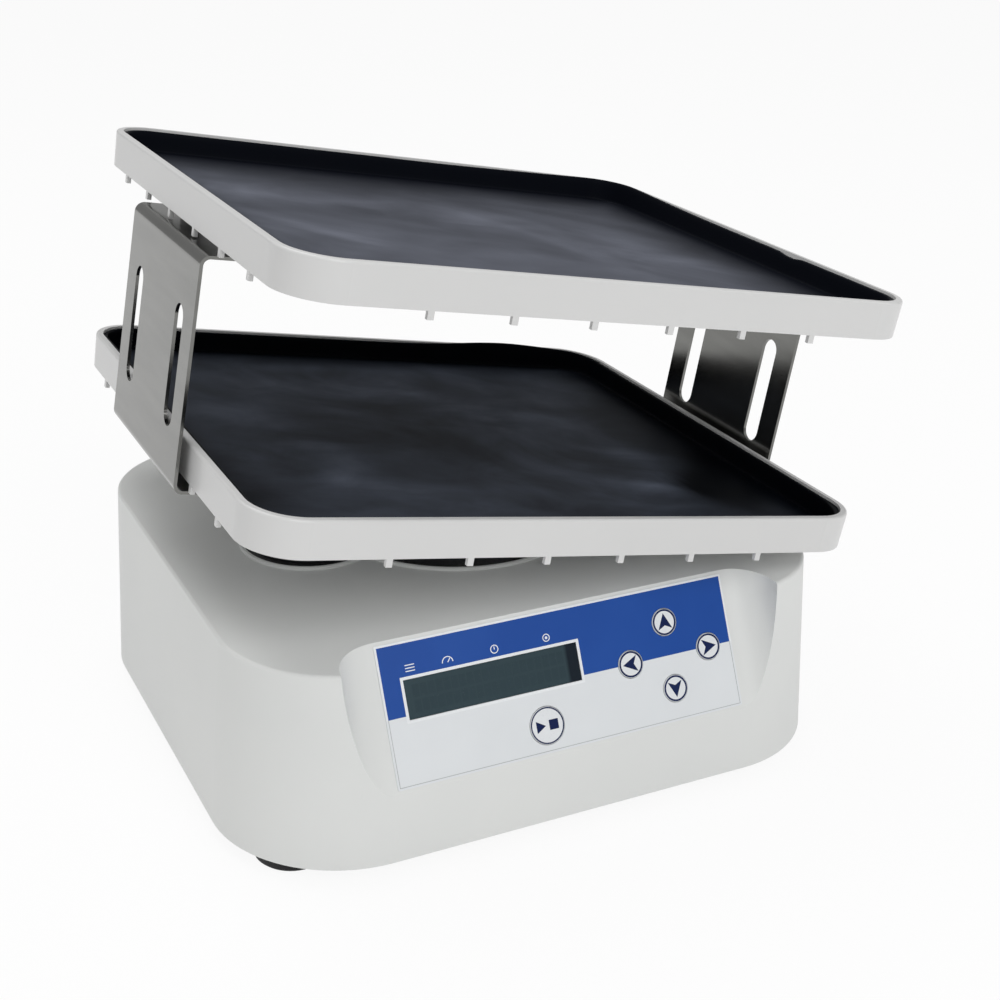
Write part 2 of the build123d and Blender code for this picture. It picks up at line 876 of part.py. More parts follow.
def make_tray(base, with_carrier):
    """A moulded tray whose lip lies at the level base."""
    floor_top = -mat_depth - mat_thickness - mat_clearance
    underside = floor_top - tray_floor
    tray = tray_form(0, -rim_height, 0)
    tray = fillet(tray.edges().group_by(Axis.Z)[-1], lip_round)
    mouth = tray_outline(lip_width)
    tray -= loft([Pos(0, 0, 1) * mouth, Pos(0, 0, floor_top) * tray_floor_outline(0)], ruled=True)
    tray -= tray_form(tray_wall, -rim_height - 1, underside)
    pegs = []
    for x, y, size_x, size_y in peg_places():
        pegs.append(Pos(x, y, (1 - peg_length) / 2 - rim_height) * Box(size_x, size_y, peg_length + 1))
    for x, y in fixing_places():
        pegs.append(bar_z(fixing_boss_radius, -flange_drop, underside + 1, x, y))
    tray += pegs
    for x, y in fixing_places():
        tray -= bar_z(fixing_radius + seat_clearance, -flange_drop - 1, underside + 1, x, y)
    if with_carrier:
        for x in (-carrier_screw_x, carrier_screw_x):
            for y in (-carrier_screw_y, carrier_screw_y):
                tray -= countersink(x, y, floor_top, seat_clearance)
                tray -= bar_z(carrier_screw_radius + hole_clearance, underside - 1, floor_top, x, y)
    return on_trays(Pos(0, 0, base) * tray)


def tray_floor_outline(clearance):
    """The inside of the tray at its floor."""
    return tray_outline(lip_width + rim_taper + clearance)


def countersink(x, y, top, clearance):
    """A countersunk seat, or the head that fits it."""
    height = carrier_screw_head - carrier_screw_radius
    head = Cone(carrier_screw_radius + clearance, carrier_screw_head + clearance, height)
    return Pos(x, y, top - height / 2) * head


def make_tray_screws():
    floor_top = lip_height - mat_depth - mat_thickness - mat_clearance
    screws = []
    for x in (-carrier_screw_x, carrier_screw_x):
        for y in (-carrier_screw_y, carrier_screw_y):
            screw = countersink(x, y, floor_top, -face_gap)
            screw += bar_z(carrier_screw_radius, floor_top - carrier_screw_length, floor_top - 1.5, x, y)
            cross = Rectangle(screw_cross, screw_cross_width) + Rectangle(screw_cross_width, screw_cross)
            screw -= slab(Pos(x, y) * cross, floor_top - screw_cross_depth, 2)
            screws.append(on_trays(screw))
    return Compound(children=screws)


def make_mat(base):
    """The rubber liner: a floor with low upturned walls, against the tray's inside."""
    top_draw = lip_width + mat_clearance
    foot = Pos(0, 0, -mat_depth - mat_thickness) * tray_floor_outline(mat_clearance)
    mat = loft([foot, tray_outline(top_draw)], ruled=True)
    mat -= block(-tray_width, tray_width, -tray_depth, tray_depth, -mat_edge_drop, 5)
    floor = Pos(0, 0, -mat_depth) * tray_floor_outline(mat_clearance + mat_thickness)
    hollow = loft([floor, tray_outline(top_draw + mat_thickness)], ruled=True)
    hollow = fillet(hollow.edges().group_by(Axis.Z)[0], mat_inner_radius)
    return on_trays(Pos(0, 0, base) * (mat - hollow))


def make_bracket(side):
    """A bent sheet plate that carries the upper tray, on the left (-1) or right (1)."""
    bottom = flange_level - sheet
    top = lip_height + tier_rise - flange_drop
    outer_x = plate_x + sheet
    inner_x = outer_x - flange_reach
    middle_z = (bottom + top) / 2
    outer = Pos((inner_x + outer_x) / 2, middle_z) * Rectangle(flange_reach, top - bottom)
    outer = fillet(outer.vertices().group_by(Axis.X)[-1], bend_radius)
    inner = Pos(plate_x - flange_reach / 2, middle_z) * Rectangle(flange_reach, top - bottom - 2 * sheet)
    inner = fillet(inner.vertices().group_by(Axis.X)[-1], bend_radius - sheet)
    section = outer - inner
    plate = Pos(0, bracket_width / 2, 0) * Rot(90, 0, 0) * extrude(section, bracket_width)
    slot_length = slot_top - slot_bottom
    slot_middle = lip_height + (slot_top + slot_bottom) / 2
    for y in (-slot_spacing / 2, slot_spacing / 2):
        slot = Rot(0, 0, 90) * SlotOverall(slot_length, slot_width)
        through = Plane(origin=(plate_x - sheet, y, slot_middle), x_dir=(0, 1, 0), z_dir=(1, 0, 0)).location
        plate -= through * extrude(slot, 3 * sheet)
    for x, y in fixing_places():
        if x > 0:
            plate -= bar_z(fixing_radius + hole_clearance, bottom - 1, bottom + sheet + 1, x, y)
            plate -= bar_z(fixing_radius + hole_clearance, top - sheet - 1, top + 1, x, y)
    if side < 0:
        plate = Rot(0, 0, 180) * plate
    return on_trays(plate)


def make_bracket_screws():
    screws = []
    for flange_bottom in (flange_level - sheet, lip_height + tier_rise - flange_drop - sheet):
        for x, y in fixing_places():
            head = bar_z(fixing_head_radius, flange_bottom - fixing_head_height, flange_bottom, x, y)
            head = fillet(head.edges().group_by(Axis.Z)[0], fixing_head_round)
            hexagon = Pos(x, y) * RegularPolygon(hex_socket, 6)
            head -= slab(hexagon, flange_bottom - fixing_head_height - 1, 2)
            shank = bar_z(fixing_radius, flange_bottom, flange_bottom + sheet + fixing_reach, x, y)
            screws.append(on_trays(head + shank))
    return Compound(children=screws)


def make_pivot_boot():
    """Rubber seal over both openings, rippled round the pedestal's column."""
    outline = ports(pivot_port_radius - soft_clearance, drive_port_radius - soft_clearance)
    plate = slab(outline, port_seat, boot_plate)
    plate -= bar_z(boot_ripple_outer, port_seat - 1, port_seat + boot_plate + 1)
    plate -= bar_z(gaiter_outer, port_seat - 1, port_seat + boot_plate + 1, drive_x, 0)
    inner = column_radius + soft_clearance
    step = (boot_ripple_outer + 1 - inner) / (2 * boot_ripple_count)
    level = port_seat + boot_plate - boot_skin
    lower = []
    for index in range(2 * boot_ripple_count + 1):
        rise = boot_ripple_height if index % 2 else 0.0
        lower.append((inner + index * step, level + rise))
    upper = [(radius, height + boot_skin) for radius, height in reversed(lower)]
    profile = make_face(Polyline(*lower, *upper, close=True))
    ripples = revolve(Plane.XZ * profile, Axis.Z)
    return plate + ripples


def make_drive_boot():
    """Folded rubber gaiter between the seal and the push rod."""
    foot = port_seat + boot_plate
    inner = rod_radius + soft_clearance
    outer = [(gaiter_flange_radius, foot), (gaiter_flange_radius, foot + gaiter_flange_thickness)]
    inside = [(gaiter_outer - 2 * boot_skin, foot)]
    cuff_bottom = gaiter_top - gaiter_cuff_height
    rise = cuff_bottom - foot - gaiter_flange_thickness
    for index in range(2 * gaiter_folds + 1):
        share = index / (2 * gaiter_folds)
        radius = gaiter_outer + (gaiter_cuff_radius - gaiter_outer) * share
        swell = gaiter_fold_depth / 2 if index % 2 else -gaiter_fold_depth / 2
        height = foot + gaiter_flange_thickness + rise * share
        outer.append((radius + swell, height))
        inside.append((radius + swell - gaiter_wall, height - boot_skin / 6))
    outer.append((gaiter_cuff_radius, cuff_bottom + 0.5))
    outer.append((gaiter_cuff_radius, gaiter_top))
    outer.append((inner, gaiter_top))
    inside[-1] = (inner, cuff_bottom - 1.0)
    profile = make_face(Polyline(*outer, *reversed(inside), close=True))
    return Pos(drive_x, 0, 0) * revolve(Plane.XZ * profile, Axis.Z)


def make_drive_frame():
    """Cast frame that carries the crank, the motor and the push rod's guide."""
    base = block(frame_left, frame_right, frame_front, motor_front, base_top, base_top + frame_base)
    front_back = frame_front + frame_plate
    front = block(frame_left + frame_notch, frame_right, frame_front, front_back, base_top, frame_top)
    back = block(frame_left, frame_right, frame_back, motor_front, base_top, frame_top)
    left = drive_x - guide_width / 2
    right = drive_x + guide_width / 2
    guide_bottom = guide_height - guide_thickness / 2
    guide_top = guide_height + guide_thickness / 2
    tower = block(left, right, frame_front, front_back, frame_top - 1, guide_top)
    arm = block(left, right, -guide_arm, frame_front + 1, guide_bottom, guide_top)
    body = base + front + back + tower + arm
    guide_bore = rod_radius + bush_wall + seat_clearance
    body -= bar_z(guide_bore, guide_bottom - 1, guide_top + 1, drive_x, 0)
    body -= bar_y(bearing_radius + seat_clearance, frame_front - 1, motor_front + 1, drive_x, crank_height)
    boss_bore = motor_boss_radius + hole_clearance
    body -= bar_y(boss_bore, frame_back - 1, motor_front + 1, motor_x, crank_height)
    body -= bar_y(motor_boss_radius + 1, frame_front - 1, frame_back, motor_x, crank_height)
    offset = motor_screw_spacing / 2
    screw_hole = small_screw_radius + hole_clearance
    for x in (motor_x - offset, motor_x + offset):
        for z in (crank_height - offset, crank_height + offset):
            body -= bar_y(screw_hole, frame_back - 1, motor_front + 1, x, z)
    for x, y in frame_screw_places():
        body -= bar_z(flange_screw_radius + hole_clearance, base_top - 1, base_top + frame_base + 1, x, y)
    return body


def make_crank_bearings():
    bearings = []
    for front in (frame_front, frame_back):
        back = front + frame_plate
        ring = bar_y(bearing_radius, front, back, drive_x, crank_height)
        ring -= bar_y(crank_shaft_radius + running_clearance, front - 1, back + 1, drive_x, crank_height)
        groove_outer = bearing_radius - bearing_race
        groove_inner = crank_shaft_radius + bearing_race
        for face in (front - bearing_groove, back - bearing_groove):
            groove = bar_y(groove_outer, face, face + 2 * bearing_groove, drive_x, crank_height)
            groove -= bar_y(groove_inner, face - 1, face + 2, drive_x, crank_height)
            ring -= groove
        bearings.append(ring)
    return Compound(children=bearings)


def disc_front():
    """The crank disc's front face."""
    return yoke_thickness / 2 + crank_disc_gap


def make_crank_shaft():
    back = motor_front + crank_shaft_end
    shaft = bar_y(crank_shaft_radius, disc_front() + disc_web, back, drive_x, crank_height)
    collar_front = disc_front() + crank_disc_thickness
    collar_back = frame_front - soft_clearance
    shaft += bar_y(crank_shaft_radius + crank_collar, collar_front, collar_back, drive_x, crank_height)
    return shaft


def make_crank_disc():
    front = disc_front()
    back = front + crank_disc_thickness
    disc = bar_y(crank_disc_radius, front, back, drive_x, crank_height)
    disc = chamfer(disc.edges().group_by(Axis.Y)[0], 0.8)
    bore_front = front + disc_web - seat_clearance
    disc -= bar_y(crank_shaft_radius + seat_clearance, bore_front, back + 1, drive_x, crank_height)
    disc -= bar_y(crank_pin_radius + seat_clearance, front - 1, back + 1, drive_x, crank_height + stroke)
    for side in (-1, 1):
        x = drive_x + side * lightening_x
        disc -= bar_y(lightening_radius, front - 1, back + 1, x, crank_height - lightening_z)
    return disc


def make_crank_pin():
    front = -yoke_thickness / 2 - 1
    height = crank_height + stroke
    pin = bar_y(crank_pin_radius, front, disc_front() + crank_disc_thickness, drive_x, height)
    pin += bar_y(crank_pin_radius + crank_pin_head, front - crank_pin_head, front, drive_x, height)
    return pin


def make_crank_roller():
    front = -roller_width / 2
    back = roller_width / 2
    roller = bar_y(roller_radius, front, back, drive_x, crank_height + stroke)
    roller = fillet(roller.edges().filter_by(GeomType.CIRCLE), roller_edge)
    bore = crank_pin_radius + running_clearance
    roller -= bar_y(bore, front - 1, back + 1, drive_x, crank_height + stroke)
    return roller


def pulley(radius, bore, x):
    """A toothed pulley between its two rims, on the belt's line."""
    half = belt_width / 2 + pulley_play
    body = bar_y(radius, belt_middle - half, belt_middle + half, x, crank_height)
    for side in (-1, 1):
        near = belt_middle + side * half
        far = belt_middle + side * (half + pulley_rim)
        body += bar_y(radius + pulley_rim_height, min(near, far), max(near, far), x, crank_height)
    tooth_count = int(radius * teeth_per_radius)
    groove = Pos(0, 0, radius) * Rot(90, 0, 0) * Cylinder(tooth_groove, 2 * half)
    grooves = []
    for index in range(tooth_count):
        turn = Rot(0, 360 / tooth_count * index, 0)
        grooves.append(Pos(x, belt_middle, crank_height) * turn * groove)
    body -= grooves
    body -= bar_y(bore, frame_front, motor_front, x, crank_height)
    return body


def make_timing_belt():
    small = motor_pulley_radius + belt_clearance
    large = crank_pulley_radius + belt_clearance
    loops = []
    for grow in (0.0, belt_thickness):
        first = Pos(motor_x, crank_height) * Circle(small + grow)
        second = Pos(drive_x, crank_height) * Circle(large + grow)
        loops.append(make_hull(first.edges() + second.edges()))
    ring = loops[1] - loops[0]
    return Pos(0, belt_middle + belt_width / 2, 0) * Rot(90, 0, 0) * extrude(ring, belt_width)


def make_motor():
    outline = RectangleRounded(motor_size, motor_size, motor_corner)
    back = Pos(motor_x, motor_front + motor_length, crank_height)
    body = back * Rot(90, 0, 0) * extrude(outline, motor_length)
    body += bar_y(motor_boss_radius, motor_front - motor_boss_height, motor_front, motor_x, crank_height)
    bore = motor_shaft_radius + 2 * hole_clearance
    body -= bar_y(bore, frame_back, motor_front + motor_bore_depth, motor_x, crank_height)
    offset = motor_screw_spacing / 2
    thread_end = motor_front + motor_screw_reach + 1
    for x in (motor_x - offset, motor_x + offset):
        for z in (crank_height - offset, crank_height + offset):
            body -= bar_y(small_screw_radius + seat_clearance, motor_front - 1, thread_end, x, z)
    for ring in (motor_seam_inset, motor_length - motor_seam_inset):
        band = Box(motor_size + 2, motor_seam, motor_size + 2)
        band -= Box(motor_size - motor_seam, 2 * motor_seam, motor_size - motor_seam)
        body -= Pos(motor_x, motor_front + ring, crank_height) * band
    return body


def make_motor_screws():
    screws = []
    offset = motor_screw_spacing / 2
    for x in (motor_x - offset, motor_x + offset):
        for z in (crank_height - offset, crank_height + offset):
            head = bar_y(small_head_radius, frame_back - small_head_height, frame_back, x, z)
            shank = bar_y(small_screw_radius, frame_back, motor_front + motor_screw_reach, x, z)
            screws.append(head + shank)
    return Compound(children=screws)


def make_motor_shaft():
    front = belt_middle - belt_width / 2 - 2 * pulley_rim
    return bar_y(motor_shaft_radius, front, motor_front + motor_bore_depth - 1, motor_x, crank_height)


def make_drive_yoke():
    """Slotted foot and push rod in one piece."""
    half_length = slot_half_length + yoke_wall
    half_height = slot_half_height + yoke_wall
    foot = RectangleRounded(2 * half_length, 2 * half_height, yoke_corner)
    foot -= SlotOverall(2 * slot_half_length, 2 * slot_half_height)
    body = Pos(drive_x, yoke_thickness / 2, yoke_middle) * Rot(90, 0, 0) * extrude(foot, yoke_thickness)
    body += bar_z(rod_radius, yoke_middle + half_height - 1, rod_pin_height - 2, drive_x, 0)
    body += bar_y(rod_eye_radius, -yoke_thickness / 2, yoke_thickness / 2, drive_x, rod_pin_height)
    body -= bar_y(rod_pin_radius + seat_clearance, -yoke_thickness, yoke_thickness, drive_x, rod_pin_height)
    return body


def make_rod_bush():
    bottom = guide_height - guide_thickness / 2
    top = guide_height + guide_thickness / 2
    bush = bar_z(rod_radius + bush_wall, bottom, top, drive_x, 0)
    bush -= bar_z(rod_radius + running_clearance, bottom - 1, top + 1, drive_x, 0)
    return bush


def make_rod_pin():
    half = yoke_thickness / 2 + drive_ear_gap + drive_ear_thickness + soft_clearance
    pin = bar_y(rod_pin_radius, -half, half, drive_x, rod_pin_height)
    for side in (-1, 1):
        near = side * half
        far = side * (half + pin_head_height)
        head = rod_pin_radius + pin_head_overhang
        pin += bar_y(head, min(near, far), max(near, far), drive_x, rod_pin_height)
    return pin


def make_power_supply():
    half_x = supply_length / 2
    half_y = supply_width / 2
    top = base_top + supply_height
    case = block(supply_x - half_x, supply_x + half_x, supply_y - half_y, supply_y + half_y, base_top, top)
    case = fillet(case.edges().group_by(Axis.Z)[-1], supply_slot_depth)
    slot = Rot(0, 0, 90) * SlotOverall(supply_width / 2, supply_slot_width)
    first = supply_x - (supply_slot_count - 1) / 2 * supply_slot_pitch
    for index in range(supply_slot_count):
        place = Pos(first + index * supply_slot_pitch, supply_y, top - supply_slot_depth)
        case -= place * extrude(slot, 2 * supply_slot_depth)
    return case


def make_driver_board():
    half_x = driver_length / 2
    half_y = driver_width / 2
    level = base_top + standoff_height
    top = level + pcb_thickness
    board = block(driver_x - half_x, driver_x + half_x, driver_y - half_y, driver_y + half_y, level, top)
    for x in (-1, 1):
        for y in (-1, 1):
            post_x = driver_x + x * (half_x - board_inset)
            post_y = driver_y + y * (half_y - board_inset)
            board += bar_z(standoff_radius, base_top, level, post_x, post_y)
    heatsink = Box(heatsink_width, heatsink_width, heatsink_height)
    board += Pos(driver_x, driver_y, top + heatsink_height / 2) * heatsink
    column = driver_x + half_x - 2 * board_inset - capacitor_radius
    for index in range(capacitor_count):
        y = driver_y + (index - (capacitor_count - 1) / 2) * capacitor_pitch
        board += bar_z(capacitor_radius, top, top + capacitor_height, column, y)
    left = driver_x - half_x + board_inset
    for index in range(terminal_count):
        y = driver_y + (index - terminal_count / 2) * terminal_pitch
        board += block(left, left + terminal_size, y, y + terminal_size, top, top + terminal_height)
    return board


def make_power_inlet():
    seat = rear_seat_y()
    mouth = seat + inlet_flange_thickness
    half_x = inlet_body_width / 2
    half_z = inlet_body_height / 2
    body = block(inlet_x - half_x, inlet_x + half_x, seat - inlet_body_depth, seat, inlet_height - half_z,
                 inlet_height + half_z)
    body += fitting_flange(inlet_x, inlet_flange_width, inlet_flange_height, inlet_flange_thickness)
    outline = Rectangle(inlet_socket_width, inlet_socket_height)
    outline = chamfer(outline.vertices().group_by(Axis.Y)[-1], inlet_chamfer)
    outline = fillet(outline.vertices().group_by(Axis.Y)[0], inlet_corner)
    body -= Pos(inlet_x, mouth + 1, inlet_height) * Rot(90, 0, 0) * extrude(outline, inlet_socket_depth + 1)
    for x, z in inlet_pin_places():
        body -= inlet_pin(x, z, seat_clearance)
    return body


def fitting_flange(x, width, height, thickness):
    """The rounded flange of a fitting, lying on the rear wall's flat."""
    outline = RectangleRounded(width, height, rear_flange_corner)
    flange = Pos(x, rear_seat_y() + thickness, inlet_height) * Rot(90, 0, 0) * extrude(outline, thickness)
    return fillet(flange.edges().group_by(Axis.Y)[-1], rear_flange_edge)


def inlet_pin_places():
    """The three contacts in the inlet."""
    half = inlet_pin_spacing / 2
    return [(-half, -inlet_pin_offset), (half, -inlet_pin_offset), (0.0, inlet_pin_offset)]


def inlet_pin(x, z, clearance):
    """A flat contact blade, or the seat it is pressed into."""
    mouth = rear_seat_y() + inlet_flange_thickness
    half_width = inlet_pin_width / 2 + clearance
    half_height = inlet_pin_height / 2 + clearance
    root = mouth - inlet_socket_depth - inlet_pin_root
    tip = mouth - inlet_socket_depth + inlet_pin_length - 1
    middle = inlet_x + x
    level = inlet_height + z
    sides = (middle - half_width, middle + half_width)
    return block(*sides, root, tip, level - half_height, level + half_height)


def make_inlet_pins():
    return Compound(children=[inlet_pin(x, z, 0) for x, z in inlet_pin_places()])


def make_power_switch():
    seat = rear_seat_y()
    half_x = (rocker_width + bezel_border) / 2
    half_z = (rocker_height + bezel_border) / 2
    front = seat - switch_body_depth
    sides = (switch_x - half_x, switch_x + half_x)
    body = block(*sides, front, seat, inlet_height - half_z, inlet_height + half_z)
    bezel_width = rocker_width + 2 * bezel_border
    bezel_height = rocker_height + 2 * bezel_border
    body += fitting_flange(switch_x, bezel_width, bezel_height, bezel_thickness)
    well_depth = rocker_depth + switch_well_floor + 2 * bezel_thickness
    middle_y = seat + 2 * bezel_thickness - well_depth / 2
    body -= Pos(switch_x, middle_y, inlet_height) * Box(rocker_width, well_depth, rocker_height)
    return body


def rocker_axis_y():
    """Where the rocker's own hinge line lies behind its face."""
    return rear_seat_y() - rocker_axis_depth


def make_power_rocker():
    """The see-saw key of the switch, lying at one end of its travel."""
    half_x = rocker_width / 2 - soft_clearance
    half_z = rocker_height / 2 - rocker_end_gap
    axis_y = rocker_axis_y()
    dip = tan(radians(rocker_angle / 2)) * half_z
    with BuildSketch() as section:
        with BuildLine():
            Polyline(
                (-rocker_depth, -rocker_root),
                (-rocker_axis_depth / 2, -half_z),
                (rocker_proud, -half_z),
                (rocker_proud - dip, 0),
                (rocker_proud, half_z),
                (-rocker_axis_depth / 2, half_z),
                (-rocker_depth, rocker_root),
                close=True,
            )
        make_face()
    body = extrude(section.sketch, 2 * half_x)
    upright = Pos(-half_x, 0, 0) * Plane(origin=(0, 0, 0), x_dir=(0, 1, 0), z_dir=(1, 0, 0)).location * body
    turned = Rot(rocker_angle / 2, 0, 0) * upright
    return Pos(switch_x, axis_y, inlet_height) * turned


save(make_housing_cover(), "housing_cover")
save(make_base_plate(), "base_plate")
save(make_rubber_feet(), "rubber_feet")
save(make_foot_screws(), "foot_screws")
save(make_cover_screws(), "cover_screws")
save(make_control_overlay(), "control_overlay")
save(make_lcd_window(), "lcd_window")
save(make_lcd_module(), "lcd_module")
save(make_control_board(), "control_board")
save(make_board_screws(), "board_screws")
for key_name, key_x, key_y, key_radius in key_places():
    save(make_key(key_x, key_y, key_radius), key_name)
save(make_pivot_pedestal(), "pivot_pedestal")
save(make_flange_screws(pedestal_screw_places()), "pedestal_screws")
save(make_pivot_bushes(), "pivot_bushes")
save(make_rocking_shaft(), "rocking_shaft")
save(make_retaining_rings(), "retaining_rings")
save(make_set_screws(), "shaft_set_screws")
save(make_platform_carrier(), "platform_carrier")
save(make_tray(lip_height, True), "lower_tray")
save(make_tray(lip_height + tier_rise, False), "upper_tray")
save(make_tray_screws(), "tray_screws")
save(make_mat(lip_height), "lower_mat")
save(make_mat(lip_height + tier_rise), "upper_mat")
save(make_bracket(-1), "left_bracket")
save(make_bracket(1), "right_bracket")
save(make_bracket_screws(), "bracket_screws")
save(make_pivot_boot(), "pivot_boot")
save(make_drive_boot(), "drive_boot")
save(make_drive_frame(), "drive_frame")
save(make_flange_screws(frame_screw_places()), "drive_frame_screws")
save(make_crank_bearings(), "crank_bearings")
save(make_crank_shaft(), "crank_shaft")
save(make_crank_disc(), "crank_disc")
save(make_crank_pin(), "crank_pin")
save(make_crank_roller(), "crank_roller")
save(pulley(crank_pulley_radius, crank_shaft_radius + seat_clearance, drive_x), "crank_pulley")
save(pulley(motor_pulley_radius, motor_shaft_radius + seat_clearance, motor_x), "motor_pulley")
save(make_timing_belt(), "timing_belt")
save(make_motor(), "drive_motor")
save(make_motor_screws(), "motor_screws")
save(make_motor_shaft(), "motor_shaft")
save(make_drive_yoke(), "drive_yoke")
save(make_rod_bush(), "rod_bush")
save(make_rod_pin(), "rod_pin")
save(make_power_supply(), "power_supply")
save(make_driver_board(), "driver_board")
save(make_power_inlet(), "power_inlet")
save(make_inlet_pins(), "inlet_pins")
save(make_power_switch(), "power_switch")
save(make_power_rocker(), "power_rocker")
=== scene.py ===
import math

import bmesh
import bpy
from mathutils import Matrix, Vector, noise


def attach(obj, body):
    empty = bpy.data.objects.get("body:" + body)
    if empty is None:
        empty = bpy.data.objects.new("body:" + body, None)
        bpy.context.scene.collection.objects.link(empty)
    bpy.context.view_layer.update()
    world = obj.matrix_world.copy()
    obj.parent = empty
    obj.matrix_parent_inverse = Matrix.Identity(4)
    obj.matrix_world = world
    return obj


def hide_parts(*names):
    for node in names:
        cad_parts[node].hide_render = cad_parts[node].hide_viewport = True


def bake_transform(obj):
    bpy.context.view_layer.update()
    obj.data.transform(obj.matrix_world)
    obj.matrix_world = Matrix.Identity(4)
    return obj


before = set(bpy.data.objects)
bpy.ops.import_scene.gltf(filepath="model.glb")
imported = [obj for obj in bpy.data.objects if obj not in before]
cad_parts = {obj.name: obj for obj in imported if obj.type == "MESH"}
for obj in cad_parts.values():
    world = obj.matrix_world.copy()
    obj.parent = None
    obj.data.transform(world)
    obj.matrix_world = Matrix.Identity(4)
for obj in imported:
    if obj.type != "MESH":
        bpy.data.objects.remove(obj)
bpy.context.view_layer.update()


# Housing shell
# One pale grey moulding in a fine-grained plastic, with drafted sides and a scooped front for the key panel.
# It is screwed to the base plate from below.
def noise_texture(nodes, links, scale, detail, stretch=(1, 1, 1), turn=(0, 0, 0), distortion=0.0):
    """Noise on the piece's own coordinates, with its size per metre and a stretch along each axis."""
    place = nodes.new("ShaderNodeTexCoord")
    mapping = nodes.new("ShaderNodeMapping")
    mapping.inputs["Scale"].default_value = stretch
    mapping.inputs["Rotation"].default_value = turn
    texture = nodes.new("ShaderNodeTexNoise")
    texture.inputs["Scale"].default_value = scale
    texture.inputs["Detail"].default_value = detail
    texture.inputs["Distortion"].default_value = distortion
    links.new(place.outputs["Object"], mapping.inputs["Vector"])
    links.new(mapping.outputs["Vector"], texture.inputs["Vector"])
    return texture.outputs["Fac"]


def spread(nodes, links, value, low, high, low_out, high_out):
    """Carries a value from one range to another."""
    band = nodes.new("ShaderNodeMapRange")
    band.inputs["From Min"].default_value = low
    band.inputs["From Max"].default_value = high
    band.inputs["To Min"].default_value = low_out
    band.inputs["To Max"].default_value = high_out
    links.new(value, band.inputs["Value"])
    return band.outputs["Result"]


def blended_colour(nodes, links, value, first, second):
    """A colour between two, by a value from 0 to 1."""
    mix = nodes.new("ShaderNodeMix")
    mix.data_type = "RGBA"
    mix.inputs["A"].default_value = (*first, 1)
    mix.inputs["B"].default_value = (*second, 1)
    links.new(value, mix.inputs["Factor"])
    return mix.outputs["Result"]


def surface(name, light, dark, roughness, grain, relief, mottle=14.0, metallic=0.0,
            stretch=(1, 1, 1), turn=(0, 0, 0), coat=0.0, specular=0.5, polish=0.08):
    """A finish with soft blotches between two near colours, a fine grain and an uneven gloss."""
    material = bpy.data.materials.new(name)
    material.use_nodes = True
    nodes = material.node_tree.nodes
    links = material.node_tree.links
    shader = nodes["Principled BSDF"]
    shader.inputs["Metallic"].default_value = metallic
    shader.inputs["Coat Weight"].default_value = coat
    shader.inputs["Coat Roughness"].default_value = 0.12
    shader.inputs["Specular IOR Level"].default_value = specular
    blotches = noise_texture(nodes, links, mottle, 3.0, stretch, turn)
    patches = spread(nodes, links, blotches, 0.35, 0.65, 0, 1)
    links.new(blended_colour(nodes, links, patches, light, dark), shader.inputs["Base Color"])
    fine = noise_texture(nodes, links, grain, 2.0, stretch, turn)
    gloss = spread(nodes, links, fine, 0.3, 0.7, roughness - polish, roughness + polish)
    links.new(gloss, shader.inputs["Roughness"])
    bump = nodes.new("ShaderNodeBump")
    bump.inputs["Strength"].default_value = 0.35
    bump.inputs["Distance"].default_value = relief
    links.new(fine, bump.inputs["Height"])
    links.new(bump.outputs["Normal"], shader.inputs["Normal"])
    return material


def dress(material, *names):
    """Gives solids of the frame their finish."""
    for name in names:
        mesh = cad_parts[name].data
        mesh.materials.clear()
        mesh.materials.append(material)


housing_plastic = surface("housing plastic", (0.775, 0.785, 0.77), (0.745, 0.757, 0.745),
                          roughness=0.42, grain=1900, relief=0.00006, mottle=9)
dress(housing_plastic, "housing_cover")


# Base plate and its screws
# A darker grey moulding with two rows of vent slots, let into the shell's rim and held by small zinc-plated
# screws.
base_plastic = surface("base plastic", (0.30, 0.305, 0.30), (0.26, 0.265, 0.26),
                       roughness=0.5, grain=1500, relief=0.00008)
plated_steel = surface("plated steel", (0.62, 0.62, 0.60), (0.52, 0.52, 0.51),
                       roughness=0.28, grain=2500, relief=0.00001, mottle=120, metallic=1.0)
dress(base_plastic, "base_plate")
dress(plated_steel, "cover_screws", "foot_screws", "board_screws", "pedestal_screws", "drive_frame_screws",
      "motor_screws", "tray_screws", "bracket_screws", "shaft_set_screws")


# Feet
# Four round feet in soft black rubber, each screwed up into the base plate through a sunk hole.
foot_rubber = surface("foot rubber", (0.007, 0.007, 0.008), (0.014, 0.014, 0.015),
                      roughness=0.62, grain=900, relief=0.00012, mottle=60, specular=0.35)
dress(foot_rubber, "rubber_feet")


# Key panel film
# A printed plastic film stuck on the slope of the scoop: a blue field above, light grey below, with thin
# outlines. The inks are laid on it as flat shapes a few hundredths of a millimetre thick.
mm = 0.001
panel_slope = math.radians(64.3)
panel_y, panel_z = -123.315, 70.2
panel_place = Matrix((
    (1, 0, 0, 0),
    (0, math.cos(panel_slope), -math.sin(panel_slope), panel_y * mm),
    (0, math.sin(panel_slope), math.cos(panel_slope), panel_z * mm),
    (0, 0, 0, 1),
))
film_width, film_height = 174.5, 62.2
window_width, window_height = 84.0, 17.3
window_x, window_y = -34.7, 5.9
field_edge = -0.8
arrow_keys = {"key_up": (53.5, 14.6, 90), "key_down": (53.5, -16.2, 270),
              "key_left": (32.7, field_edge, 180), "key_right": (74.3, field_edge, 0)}
arrow_radius = 6.2
start_x, start_y, start_radius = -13.6, -18.8, 8.4
key_gap = 0.3
ink = 0.03


def round_outline(x, y, radius, count=72):
    """A circle as a closed outline, in millimetres."""
    turns = [2 * math.pi * i / count for i in range(count)]
    return [(x + radius * math.cos(t), y + radius * math.sin(t)) for t in turns]


